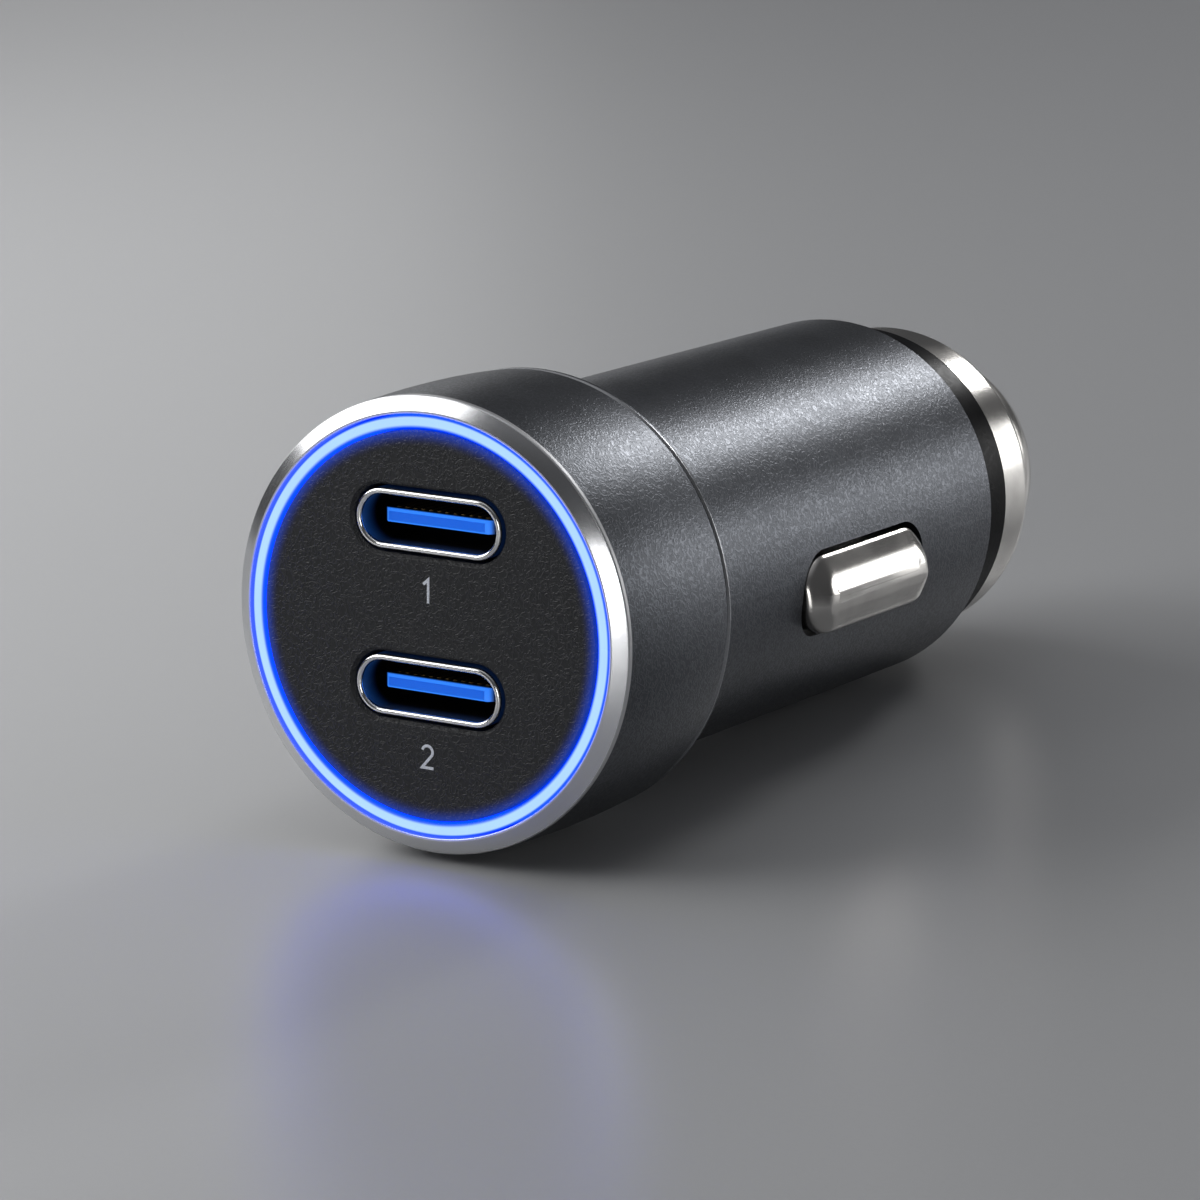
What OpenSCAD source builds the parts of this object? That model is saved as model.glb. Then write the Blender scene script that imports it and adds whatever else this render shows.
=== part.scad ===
// Car charger plug with two reversible data ports, a lit ring and sprung contacts.
// The plug is drawn upright about its own axis: the face lies at y = 0 and looks towards -Y,
// the nose points to +Y and Z is up. laid() then rests it on its head rim and its tail rim.

/* [Head] */
// How far the rims of the head stand out past the barrel
head_step = 1.65; // [1.2:0.05:2.4]
// How far the side of the head swells between its rims
head_crown = 0.16; // [0:0.02:0.3]
// Width of the polished bevel round the face, across the radius
bevel_w = 0.76; // [0.5:0.02:0.9]
// Depth of the polished bevel along the axis
bevel_depth = 0.46; // [0.3:0.02:0.9]
// Width of the flat lip between the bevel and the ring's seat
lip_w = 0.14; // [0.1:0.01:0.3]
// Thickness of the shoulder flange on the barrel
flange_t = 0.3; // [0.25:0.05:0.5]
// Fine groove between the head and the shoulder flange
seam_gap = 0.1; // [0.08:0.02:0.2]

/* [Light ring] */
// Width of the lit ring across the radius
ring_w = 0.67; // [0.5:0.01:0.9]
// How far the ledge under the faceplate reaches in from the ring
ledge_w = 0.6; // [0.5:0.05:0.8]
// Thickness of that ledge
ledge_t = 0.8; // [0.6:0.1:1.2]

/* [Faceplate] */
// Thickness of the faceplate
plate_t = 1.55; // [1.2:0.05:2]
// How far the faceplate sits behind the head's front edge
plate_recess = 0.15; // [0.05:0.05:0.3]
// Wall of the collar that guides each port behind the faceplate
collar_wall = 0.6; // [0.4:0.05:0.7]
// Length of that collar
collar_len = 2.4; // [1.5:0.1:3]

/* [Ports] */
// Width of a port shell
port_w = 8.94; // [8.8:0.02:9.1]
// Height of a port shell
port_h = 3.16; // [3:0.02:3.3]
// Wall of a port shell
port_wall = 0.3; // [0.25:0.01:0.35]
// Distance between the two ports as a share of the faceplate's diameter
port_spread = 0.428; // [0.36:0.002:0.46]
// Height of the pair above the axis as a share of the faceplate's diameter
port_lift = 0.0496; // [0:0.0002:0.06]
// Gap between a port shell and the faceplate
port_gap = 0.2; // [0.12:0.02:0.3]
// Depth of a port shell from its lip to the front board
port_len = 6.8; // [6.5:0.1:7]
// Width of the tongue
tongue_w = 6.69; // [6.4:0.01:6.8]
// Thickness of the tongue
tongue_t = 0.7; // [0.6:0.02:0.74]
// How far the tongue sits behind the face
tongue_recess = 0.95; // [0.7:0.05:1.3]
// Number of contacts on each face of a tongue
contact_count = 12; // [8:2:12]
// Pitch of those contacts
contact_pitch = 0.5; // [0.45:0.01:0.5]

/* [Barrel] */
// Diameter of the barrel
barrel_d = 20.8; // [20:0.1:21]
// Length of the barrel behind the shoulder
barrel_len = 32.0; // [31.5:0.1:36]
// Wall of the barrel
barrel_wall = 1.0; // [0.8:0.05:1.1]
// Chamfer on the tail rim of the barrel
tail_chamfer = 0.3; // [0.2:0.05:0.5]
// Length of the spigot that holds the barrel in the head
spigot_len = 2.3; // [1.8:0.05:2.5]

/* [Side contacts] */
// Length of the bar of a side contact
bar_len = 12.7; // [11:0.1:13]
// Width of the bar of a side contact
bar_w = 4.3; // [3.6:0.1:4.6]
// How far the bar stands out of the barrel
bar_proud = 1.1; // [0.8:0.05:1.3]
// Gap round the bar in its slot
bar_gap = 0.3; // [0.2:0.05:0.4]
// Place of the bars along the barrel as a share of its length
bar_place = 0.5312; // [0.5:0.0002:0.56]
// Angle by which both bars lie below the level of the axis
bar_drop = 6; // [0:0.5:8]
// Slope at each end of a bar
bar_bevel = 1.35; // [0.8:0.05:1.6]

/* [Nose] */
// Step from the barrel down to the black ring behind it
insulator_step = 0.9; // [0.6:0.02:1]
// Length of the black ring that shows
insulator_len = 3.3; // [2.9:0.1:3.7]
// Step from the black ring down to the nose ring
nose_step = 0.47; // [0.35:0.01:0.6]
// Length of the nose ring that shows
nose_len = 3.9; // [3.6:0.1:4.6]
// Rounding of the nose ring's end
nose_round = 1.0; // [0.6:0.1:1.1]
// Step from the nose ring down to the centre pin
pin_step = 1.88; // [1.78:0.02:2.3]
// How far the centre pin stands out of the nose ring
pin_proud = 6.6; // [6:0.1:8]
// Rounding of the centre pin's end
pin_round = 4.0; // [3:0.1:4.5]
// Travel of the centre pin into the nose
pin_travel = 2.5; // [1.5:0.1:2.6]
// Wire of the spring behind the centre pin
wire_d = 0.8; // [0.6:0.05:0.9]
// Turns of that spring
spring_turns = 6.5; // [5:0.5:8]

/* [Boards] */
// Thickness of the front board
front_board_t = 0.9; // [0.8:0.05:1]
// Lamps under the light ring
led_count = 8; // [6:1:12]
// Height of a lamp
led_h = 0.77; // [0.5:0.01:1]
// Thickness of the main board
main_board_t = 1.2; // [1:0.05:1.3]
// Depth of the board below the axis as a share of the bay's radius
board_level = 0.551; // [0.53:0.001:0.58]
// Width of a choke as a share of the bay's radius
choke_width = 0.814; // [0.7:0.002:0.84]
// Height of a choke as a share of the bay's radius
choke_height = 0.647; // [0.5:0.001:0.7]
// Length of a choke as a share of the board's length
choke_length = 0.227; // [0.2:0.001:0.23]
// Diameter of the input capacitor as a share of the bay's radius
input_can_width = 0.754; // [0.6:0.002:0.78]
// Length of the input capacitor as a share of the board's length
input_can_length = 0.267; // [0.2:0.001:0.27]
// Diameter of the output capacitor as a share of the board's length
output_can_width = 0.167; // [0.14:0.001:0.168]
// Height of the output capacitor as a share of the bay's radius
output_can_height = 0.647; // [0.5:0.001:0.7]

/* [Hidden] */
$fn = 96;
eps = 0.01;

// Clearances between pieces
press_gap = 0.05;
slide_gap = 0.2;
board_gap = 0.1;
lamp_gap = 0.3;

// Head
barrel_r = barrel_d / 2;
head_r = barrel_r + head_step;
lip_r = head_r - bevel_w;
seat_r = lip_r - lip_w;
spigot_seat_r = barrel_r + press_gap;
edge_break = 0.1;

// Faceplate and light ring
ring_front = plate_recess - press_gap;
plate_back = plate_recess + plate_t;
ring_r = seat_r - board_gap;
ring_inner_r = ring_r - ring_w;
plate_r = ring_inner_r - board_gap;
slot_bevel = 0.2;

// Ports
port_lip_y = 0.12;
port_back = port_lip_y + port_len;
port_pitch = 2 * plate_r * port_spread;
port_rise = 2 * plate_r * port_lift;
upper_z = port_rise + port_pitch / 2;
lower_z = port_rise - port_pitch / 2;
leg_w = 1.0;
leg_through = 0.5;
leg_root = 0.4;
insert_base_len = 1.7;
insert_fit = 0.02;
tongue_chamfer = 0.14;
tongue_corner = 0.4;
strip_w = 0.25;
strip_t = 0.06;
strip_setback = 0.65;

// Front board and lamps
front_board_y = port_back + press_gap;
front_board_back = front_board_y + front_board_t;
board_seat_y = front_board_back + press_gap;
front_board_r = seat_r - 0.25;
guide_end = front_board_y - lamp_gap - led_h;
led_l = 1.6;
led_w = 0.8;
led_r = front_board_r - led_w / 2 - board_gap;

// Barrel and nose
bore_r = barrel_r - barrel_wall;
spigot_y = board_seat_y + 0.08;
head_len = spigot_y + spigot_len + flange_t;
collar_end = head_len - flange_t - seam_gap;
tail_y = head_len + barrel_len;
insulator_r = barrel_r - insulator_step;
insulator_end = tail_y + insulator_len;
nose_r = insulator_r - nose_step;
nose_end = insulator_end + nose_len;
pin_r = nose_r - pin_step;
pin_end = nose_end + pin_proud;
pin_hole_r = pin_r + slide_gap;
pin_flange_r = pin_r + 0.85;
pin_flange_t = 1.2;
nose_bore_r = pin_flange_r + slide_gap;
nose_lip_t = 1.3;
nose_lip_y = nose_end - nose_lip_t;
pin_flange_y = nose_lip_y - board_gap - pin_flange_t;
pin_wall = 1.55;
pin_cup_y = pin_end - 2.2;
cup_chamfer = 0.4;
nose_spigot_r = nose_bore_r + 0.5;
nose_spigot_y = pin_flange_y - pin_travel - 0.9;
insulator_spigot_len = 2.0;
insulator_spigot_y = tail_y - insulator_spigot_len;

// Carrier and centre terminal
carrier_r = bore_r - 0.15;
carrier_wall = 0.9;
carrier_inner_r = carrier_r - carrier_wall;
carrier_front = spigot_y + 0.6;
bulkhead_t = 1.2;
bulkhead_back = insulator_spigot_y - press_gap;
bulkhead_y = bulkhead_back - bulkhead_t;
terminal_t = 0.4;
terminal_r = nose_bore_r - 1.4;
terminal_w = 0.44 * terminal_r;
terminal_lap = 0.6;
spring_r = pin_r - pin_wall - wire_d / 2 - 0.3;
spring_y = bulkhead_back + terminal_t + press_gap;
spring_end = pin_cup_y - press_gap;

// Main board, in the bay inside the carrier
bay = carrier_inner_r;
board_side_gap = 0.2;
main_top = -bay * board_level;
main_bottom = main_top - main_board_t;
main_front = front_board_back + 0.75;
main_back = bulkhead_y - 0.8;
main_len = main_back - main_front;
main_board_w = 2 * (sqrt(bay * bay - main_bottom * main_bottom) - board_side_gap);
tab_w = 0.24 * main_board_w;
tab_x = 0.27 * main_board_w;
rail_grip = 0.5;
rail_t = 0.6;

// Pieces along the top of the main board
part_gap = 0.022 * main_len;
choke_w = choke_width * bay;
choke_l = choke_length * main_len;
choke_h = choke_height * bay;
choke_cut = 0.12 * choke_w;
choke_window_r = 0.35 * min(choke_w, choke_l);
choke_window_t = 0.3;
choke_front_y = main_front + 1.4 * part_gap;
choke_rear_y = choke_front_y + choke_l + part_gap;
input_can_r = input_can_width * bay / 2;
input_can_len = input_can_length * main_len;
input_can_y = choke_rear_y + choke_l + part_gap;
output_can_r = output_can_width * main_len / 2;
output_can_h = output_can_height * bay;
output_can_y = input_can_y + input_can_len + part_gap / 2;
ceramic_w = 0.14 * bay;
ceramic_l = 0.037 * main_len;
ceramic_pitch = 1.4 * ceramic_l;
ceramic_x = (choke_w + main_board_w) / 4 - rail_grip / 2;
ceramic_rows = 5;
can_edge = 0.3;
can_inset = 0.15;

// Pieces under the main board, as shares of its length and of the room left under it
chip_t = 0.1 * bay;
under = sqrt(bay * bay - (main_bottom - chip_t) * (main_bottom - chip_t));

// Side contacts, in a frame whose U axis points out through the middle of the bar
bar_mid = head_len + bar_place * barrel_len;
bar_top = barrel_r + bar_proud;
bar_travel = bar_proud;
bar_corner = 0.44 * bar_w;
bar_side_round = 0.267 * bar_w;
foot_t = 0.6;
foot_lap = 0.75;
foot_len = bar_len + 2 * foot_lap;
foot_w = bar_w + 2 * foot_lap;
foot_top = sqrt(bore_r * bore_r - foot_w * foot_w / 4) - 0.1;
foot_bottom = foot_top - foot_t;
window_gap = 0.2;
shelf_t = 0.7;
shelf_top = foot_bottom - bar_travel - 0.8;
leaf_t = 0.2;
leaf_w = 0.7 * bar_w;
leaf_len = 0.87 * bar_len;
leaf_rise = foot_bottom - shelf_top - leaf_t - 0.1;
leaf_r = (leaf_len * leaf_len / 4 + leaf_rise * leaf_rise) / (2 * leaf_rise);

// Rest on the shoulder rim and the tail rim
rest_y1 = head_len;
rest_y2 = tail_y - tail_chamfer;
rest_tilt = atan((head_r - barrel_r) / (rest_y2 - rest_y1));
rest_height = rest_y1 * sin(rest_tilt) + head_r * cos(rest_tilt);
reach_front = -lip_r * sin(rest_tilt);
reach_back = (pin_end - pin_round) * cos(rest_tilt) + (pin_r - pin_round) * sin(rest_tilt) + pin_round;
rest_middle = (reach_front + reach_back) / 2;

// Points of a quarter round about (r, y), from angle a0 to a1
function arc_points(r, y, rad, a0, a1, n = 8) =
    [for (i = [0:n]) let(a = a0 + (a1 - a0) * i / n) [r + rad * cos(a), y + rad * sin(a)]];

// Points of a swelling side between two rims
function crown_points(r, y0, y1, swell, n = 10) =
    [for (i = [0:n]) let(t = i / n) [r + 4 * swell * t * (1 - t), y0 + (y1 - y0) * t]];

// Lays the plug down on its two rims, with the origin under the middle of its box
module laid() {
    translate([0, -rest_middle, rest_height])
        rotate([-rest_tilt, 0, 0])
            children();
}

// Turns a profile of [radius, y] points about the plug's axis
module turned(points) {
    rotate([-90, 0, 0])
        rotate_extrude()
            polygon(points);
}

// A disc on the plug's axis from y0 to y1
module disc(r, y0, y1) {
    translate([0, y0, 0])
        rotate([-90, 0, 0])
            cylinder(r = r, h = y1 - y0);
}

// Extrudes a flat X-Z shape along the axis from y0 to y1
module through(y0, y1) {
    translate([0, y1, 0])
        rotate([90, 0, 0])
            linear_extrude(height = y1 - y0)
                children();
}

// A box given by its two corners
module block(low, high) {
    translate(low)
        cube(high - low);
}

// A flat shape with fully round ends
module stadium(w, h) {
    square([w - h, h], center = true);
    for (side = [-1, 1])
        translate([side * (w - h) / 2, 0])
            circle(d = h);
}

// A flat rectangle with round corners
module rounded(l, w, r) {
    square([l - 2 * r, w], center = true);
    square([l, w - 2 * r], center = true);
    for (x = [-1, 1])
        for (y = [-1, 1])
            translate([x * (l / 2 - r), y * (w / 2 - r)])
                circle(r = r);
}

// Turned head with its polished bevel, ring seat and board ledge
module head_collar() {
    color("dimgray")
        laid()
            turned(concat(
                [[seat_r, 0], [lip_r, 0]],
                crown_points(head_r, bevel_depth, collar_end - edge_break, head_crown),
                [[head_r - edge_break, collar_end], [spigot_seat_r, collar_end]],
                [[spigot_seat_r, board_seat_y], [seat_r, board_seat_y]]
            ));
}

// Clear light guide whose front edge is the lit ring
module light_ring() {
    ledge_r = ring_inner_r - ledge_w;
    color("deepskyblue")
        laid()
            turned([
                [ring_inner_r, ring_front + edge_break],
                [ring_inner_r + edge_break, ring_front],
                [ring_r - edge_break, ring_front],
                [ring_r, ring_front + edge_break],
                [ring_r, guide_end],
                [ring_inner_r, guide_end],
                [ring_inner_r, plate_back + ledge_t],
                [ledge_r, plate_back + ledge_t],
                [ledge_r, plate_back],
                [ring_inner_r, plate_back]
            ]);
}

// Opening for one port, with a bevelled front edge
module port_slot() {
    w = port_w + 2 * port_gap;
    h = port_h + 2 * port_gap;
    reach = h / 2 + slot_bevel;
    through(-1, plate_back + collar_len + 1)
        stadium(w, h);
    for (side = [-1, 1])
        translate([side * (w - h) / 2, plate_recess, 0])
            rotate([-90, 0, 0])
                cylinder(r1 = reach, r2 = h / 2 - eps, h = slot_bevel + eps);
    translate([-(w - h) / 2, plate_recess, 0])
        rotate([90, 0, 90])
            linear_extrude(height = w - h)
                polygon([
                    [0, -reach], [slot_bevel + eps, -h / 2 + eps],
                    [slot_bevel + eps, h / 2 - eps], [0, reach]
                ]);
}

// Black face with two port openings and a guide collar behind each
module faceplate() {
    collar_w = port_w + 2 * port_gap + 2 * collar_wall;
    collar_h = port_h + 2 * port_gap + 2 * collar_wall;
    color("#2b2c2e")
        laid()
            difference() {
                union() {
                    turned([
                        [0, plate_recess],
                        [plate_r - edge_break, plate_recess],
                        [plate_r, plate_recess + edge_break],
                        [plate_r, plate_back],
                        [0, plate_back]
                    ]);
                    for (z = [upper_z, lower_z])
                        translate([0, 0, z])
                            through(plate_back - plate_t / 2, plate_back + collar_len)
                                stadium(collar_w, collar_h);
                }
                for (z = [upper_z, lower_z])
                    translate([0, 0, z])
                        port_slot();
            }
}

// Four legs of a port shell, grown by a clearance for their holes
module port_legs(y0, y1, grow = 0) {
    for (side = [-1, 1]) {
        translate([side * (port_w - port_wall) / 2, 0, 0])
            block([-port_wall / 2 - grow, y0, -leg_w / 2 - grow], [port_wall / 2 + grow, y1, leg_w / 2 + grow]);
        translate([0, 0, side * (port_h - port_wall) / 2])
            block([-leg_w / 2 - grow, y0, -port_wall / 2 - grow], [leg_w / 2 + grow, y1, port_wall / 2 + grow]);
    }
}

// Drawn steel shell of a port: a rolled lip, a stadium tube and four legs
module port_shell(z) {
    lip_r = port_wall / 2 + 0.01;
    straight = port_w - port_h;
    mid_h = port_h - port_wall;
    color("silver")
        laid()
            translate([0, 0, z]) {
                difference() {
                    through(port_lip_y + port_wall / 2, port_back)
                        stadium(port_w, port_h);
                    through(0, port_back + 1)
                        stadium(port_w - 2 * port_wall, port_h - 2 * port_wall);
                }
                translate([0, port_lip_y + port_wall / 2, 0])
                    for (side = [-1, 1]) {
                        translate([-straight / 2, 0, side * mid_h / 2])
                            rotate([0, 90, 0])
                                cylinder(r = lip_r, h = straight, $fn = 24);
                        translate([side * straight / 2, 0, 0])
                            rotate([90, 0, 0])
                                rotate([0, 0, side > 0 ? -90 : 90])
                                    rotate_extrude(angle = 180)
                                        translate([mid_h / 2, 0])
                                            circle(r = lip_r, $fn = 24);
                    }
                port_legs(port_back - leg_root, front_board_back + leg_through);
            }
}

// Moulded insert of a port: a base that fills the shell and the tongue in front of it
module port_insert(z) {
    base_y = port_back - insert_base_len;
    half_w = tongue_w / 2;
    half_t = tongue_t / 2;
    front = tongue_recess;
    color("royalblue")
        laid()
            translate([0, 0, z]) {
                through(base_y, port_back)
                    stadium(port_w - 2 * port_wall - 2 * insert_fit, port_h - 2 * port_wall - 2 * insert_fit);
                intersection() {
                    translate([0, 0, -half_t])
                        linear_extrude(height = tongue_t)
                            polygon([
                                [-half_w, base_y + eps],
                                [-half_w, front + tongue_corner],
                                [-half_w + tongue_corner, front],
                                [half_w - tongue_corner, front],
                                [half_w, front + tongue_corner],
                                [half_w, base_y + eps]
                            ]);
                    translate([-half_w - 1, 0, 0])
                        rotate([90, 0, 90])
                            linear_extrude(height = tongue_w + 2)
                                polygon([
                                    [base_y + eps, -half_t],
                                    [front + tongue_chamfer, -half_t],
                                    [front, -half_t + tongue_chamfer],
                                    [front, half_t - tongue_chamfer],
                                    [front + tongue_chamfer, half_t],
                                    [base_y + eps, half_t]
                                ]);
                }
            }
}

// Gilt contact strips on both faces of a tongue
module port_contacts(z) {
    first = -(contact_count - 1) * contact_pitch / 2;
    y0 = tongue_recess + strip_setback;
    y1 = port_back - insert_base_len;
    color("gold")
        laid()
            translate([0, 0, z])
                for (i = [0:contact_count - 1])
                    translate([first + i * contact_pitch, 0, 0]) {
                        block([-strip_w / 2, y0, tongue_t / 2], [strip_w / 2, y1, tongue_t / 2 + strip_t]);
                        block([-strip_w / 2, y0, -tongue_t / 2 - strip_t], [strip_w / 2, y1, -tongue_t / 2]);
                    }
}

// Round board that carries the ports and the lamps
module front_board() {
    color("darkgreen")
        laid()
            difference() {
                disc(front_board_r, front_board_y, front_board_back);
                for (z = [upper_z, lower_z])
                    translate([0, 0, z])
                        port_legs(front_board_y - 1, front_board_back + 1, board_gap);
                board_tabs(front_board_y - 1, front_board_back + 1, board_gap);
            }
}

// Lamps set round the front board, behind the light guide
module ring_lamps() {
    color("lightyellow")
        laid()
            for (i = [0:led_count - 1])
                rotate([0, (i + 0.5) * 360 / led_count, 0])
                    block([-led_l / 2, front_board_y - led_h, led_r - led_w / 2],
                          [led_l / 2, front_board_y, led_r + led_w / 2]);
}

// Two tabs of the main board that stand in the front board
module board_tabs(y0, y1, grow = 0) {
    for (side = [-1, 1])
        block([side * tab_x - tab_w / 2 - grow, y0, main_bottom - grow],
              [side * tab_x + tab_w / 2 + grow, y1, main_top + grow]);
}

// Long board below the axis that carries the converter
module main_board() {
    color("darkgreen")
        laid() {
            block([-main_board_w / 2, main_front, main_bottom], [main_board_w / 2, main_back, main_top]);
            board_tabs(front_board_y, main_front + eps);
        }
}

// Shielded choke: a block with bevelled corners and a round window in its top
module choke(y) {
    half_w = choke_w / 2;
    half_l = choke_l / 2;
    color("#3a3a3c")
        laid()
            translate([0, y + half_l, main_top])
                difference() {
                    linear_extrude(height = choke_h)
                        polygon([
                            [-half_w + choke_cut, -half_l], [half_w - choke_cut, -half_l],
                            [half_w, -half_l + choke_cut], [half_w, half_l - choke_cut],
                            [half_w - choke_cut, half_l], [-half_w + choke_cut, half_l],
                            [-half_w, half_l - choke_cut], [-half_w, -half_l + choke_cut]
                        ]);
                    translate([0, 0, choke_h - choke_window_t])
                        cylinder(r = choke_window_r, h = 2 * choke_window_t);
                }
}

// Input capacitor lying along the main board
module input_capacitor() {
    r = input_can_r;
    len = input_can_len;
    crimp = 0.05 * len;
    crimp_y = 0.82 * len;
    color("slategray")
        laid()
            translate([0, input_can_y, main_top + r + press_gap])
                turned([
                    [0, 0], [r - can_edge, 0], [r, can_edge],
                    [r, crimp_y - crimp], [r - can_edge, crimp_y], [r, crimp_y + crimp],
                    [r, len - can_edge], [r - can_edge, len], [0, len]
                ]);
}

// Output capacitor standing on its square base
module output_capacitor() {
    r = output_can_r - can_inset;
    base_t = 0.11 * output_can_h;
    crimp = 0.08 * output_can_h;
    crimp_z = base_t + 2 * crimp;
    color("silver")
        laid()
            translate([0, output_can_y + output_can_r, main_top]) {
                linear_extrude(height = base_t)
                    square(2 * output_can_r, center = true);
                rotate_extrude()
                    polygon([
                        [0, base_t - eps], [r, base_t - eps], [r, crimp_z - crimp],
                        [r - can_edge, crimp_z], [r, crimp_z + crimp],
                        [r, output_can_h - can_edge], [r - can_edge, output_can_h], [0, output_can_h]
                    ]);
            }
}

// A flat chip under the board: its middle across and along and its size, all as shares
module chip(across, along, w, l, t = chip_t) {
    x = across * under;
    y = main_front + along * main_len;
    half_w = w * under / 2;
    half_l = l * main_len / 2;
    block([x - half_w, y - half_l, main_bottom - t], [x + half_w, y + half_l, main_bottom]);
}

// Converter chip
module buck_controller() {
    color("#1c1c1e")
        laid()
            chip(0, 0.44, 0.79, 0.133);
}

// One chip for each port
module port_controllers() {
    color("#1c1c1e")
        laid()
            for (side = [-1, 1])
                chip(side * 0.42, 0.12, 0.6, 0.1);
}

// Four power switches in two pairs
module power_switches() {
    color("#1c1c1e")
        laid()
            for (side = [-1, 1])
                for (along = [0.287, 0.594])
                    chip(side * 0.42, along, 0.65, 0.11);
}

// Small ceramic capacitors beside the front choke
module ceramic_capacitors() {
    color("tan")
        laid()
            for (side = [-1, 1])
                for (i = [0:ceramic_rows - 1])
                    translate([side * ceramic_x, choke_front_y + i * ceramic_pitch, main_top])
                        block([-ceramic_w / 2, 0, 0], [ceramic_w / 2, ceramic_l, ceramic_w]);
}

// Current sense resistor
module sense_resistor() {
    color("#2a2a2c")
        laid()
            chip(0, 0.73, 1.24, 0.106, 0.7 * chip_t);
}

// Surface fuse in the supply line
module fuse() {
    color("white")
        laid()
            chip(0, 0.872, 0.89, 0.067, 1.3 * chip_t);
}

// Moves a shape from the bar's own frame to the side of the barrel
module at_side(side) {
    mirror([side < 0 ? 1 : 0, 0, 0])
        rotate([0, bar_drop, 0])
            translate([0, bar_mid, 0])
                children();
}

// Extrudes a flat outline outwards along the bar's U axis
module outwards(u0, u1) {
    translate([u0, 0, 0])
        rotate([90, 0, 90])
            linear_extrude(height = u1 - u0)
                children();
}

// Carrier inside the barrel: a tube with contact pockets, board rails and a rear bulkhead
module inner_carrier() {
    half_slot = foot_len / 2 + window_gap;
    half_v = foot_w / 2 + window_gap;
    rail_x = main_board_w / 2 - rail_grip;
    color("#222326")
        laid()
            difference() {
                union() {
                    difference() {
                        disc(carrier_r, carrier_front, bulkhead_back);
                        disc(carrier_inner_r, carrier_front - 1, bulkhead_y);
                    }
                    intersection() {
                        disc(carrier_r - 0.3, carrier_front, bulkhead_back);
                        union() {
                            for (side = [-1, 1]) {
                                at_side(side)
                                    block([shelf_top - shelf_t, -half_slot - shelf_t, -half_v],
                                          [carrier_r, half_slot + shelf_t, half_v]);
                                mirror([side < 0 ? 1 : 0, 0, 0])
                                    block([rail_x, carrier_front, main_bottom - rail_t],
                                          [carrier_r, bulkhead_y + eps, main_top + rail_t]);
                            }
                        }
                    }
                }
                for (side = [-1, 1])
                    at_side(side)
                        block([shelf_top, -half_slot, -half_v], [carrier_r + 1, half_slot, half_v]);
                block([-main_board_w / 2 - board_gap, carrier_front - 1, main_bottom - board_gap],
                      [main_board_w / 2 + board_gap, main_back + board_gap, main_top + board_gap]);
                block([-terminal_w / 2 - board_gap, bulkhead_y - 1, main_top - board_gap],
                      [terminal_w / 2 + board_gap, bulkhead_back + 1, main_top + terminal_t + board_gap]);
            }
}

// Turned barrel: spigot, shoulder flange, tube with two slots and a chamfered tail rim
module barrel_shell() {
    slot_len = bar_len + 2 * bar_gap;
    slot_w = bar_w + 2 * bar_gap;
    color("dimgray")
        laid()
            difference() {
                turned([
                    [bore_r, spigot_y],
                    [barrel_r, spigot_y],
                    [barrel_r, head_len - flange_t],
                    [head_r - edge_break, head_len - flange_t],
                    [head_r, head_len - flange_t + edge_break],
                    [head_r, head_len],
                    [barrel_r, head_len],
                    [barrel_r, tail_y - tail_chamfer],
                    [barrel_r - tail_chamfer, tail_y],
                    [bore_r, tail_y]
                ]);
                for (side = [-1, 1])
                    at_side(side)
                        outwards(bore_r - 2, barrel_r + 1)
                            rounded(slot_len, slot_w, bar_corner + bar_gap);
            }
}

// Sprung bar: bevelled at both ends, round along its sides, with a foot that traps it in its slot
module side_contact(side) {
    half = bar_len / 2;
    low = foot_top - eps;
    color("silver")
        laid()
            at_side(side) {
                intersection() {
                    outwards(low, bar_top)
                        rounded(bar_len, bar_w, bar_corner);
                    translate([0, half, 0])
                        rotate([90, 0, 0])
                            linear_extrude(height = bar_len)
                                polygon(concat(
                                    [[low, -bar_w / 2]],
                                    arc_points(bar_top - bar_side_round, -bar_w / 2 + bar_side_round,
                                               bar_side_round, -90, 0),
                                    arc_points(bar_top - bar_side_round, bar_w / 2 - bar_side_round,
                                               bar_side_round, 0, 90),
                                    [[low, bar_w / 2]]
                                ));
                    translate([0, 0, -bar_w])
                        linear_extrude(height = 2 * bar_w)
                            polygon([
                                [low, -half],
                                [bar_top - bar_bevel, -half],
                                [bar_top - 0.25, -half + 0.85 * bar_bevel],
                                [bar_top, -half + 1.25 * bar_bevel],
                                [bar_top, half - 1.25 * bar_bevel],
                                [bar_top - 0.25, half - 0.85 * bar_bevel],
                                [bar_top - bar_bevel, half],
                                [low, half]
                            ]);
                }
                outwards(foot_bottom, foot_top)
                    rounded(foot_len, foot_w, bar_corner);
            }
}

// Bowed leaf spring between the carrier's pocket and the contact's foot
module contact_spring(side) {
    arch = leaf_r + leaf_t / 2;
    color("goldenrod")
        laid()
            at_side(side)
                translate([shelf_top + press_gap + leaf_rise - leaf_r, 0, -leaf_w / 2])
                    linear_extrude(height = leaf_w)
                        intersection() {
                            difference() {
                                circle(r = leaf_r + leaf_t);
                                circle(r = leaf_r);
                            }
                            translate([leaf_r - leaf_rise, -leaf_len / 2])
                                square([leaf_rise + arch, leaf_len]);
                        }
}

// Black ring that parts the barrel from the nose
module insulator_ring() {
    color("#161617")
        laid()
            turned([
                [nose_bore_r, insulator_spigot_y],
                [bore_r - press_gap, insulator_spigot_y],
                [bore_r - press_gap, tail_y],
                [insulator_r, tail_y],
                [insulator_r, insulator_end - edge_break],
                [insulator_r - edge_break, insulator_end],
                [nose_spigot_r + press_gap, insulator_end],
                [nose_spigot_r + press_gap, nose_spigot_y - press_gap],
                [nose_bore_r, nose_spigot_y - press_gap]
            ]);
}

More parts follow.
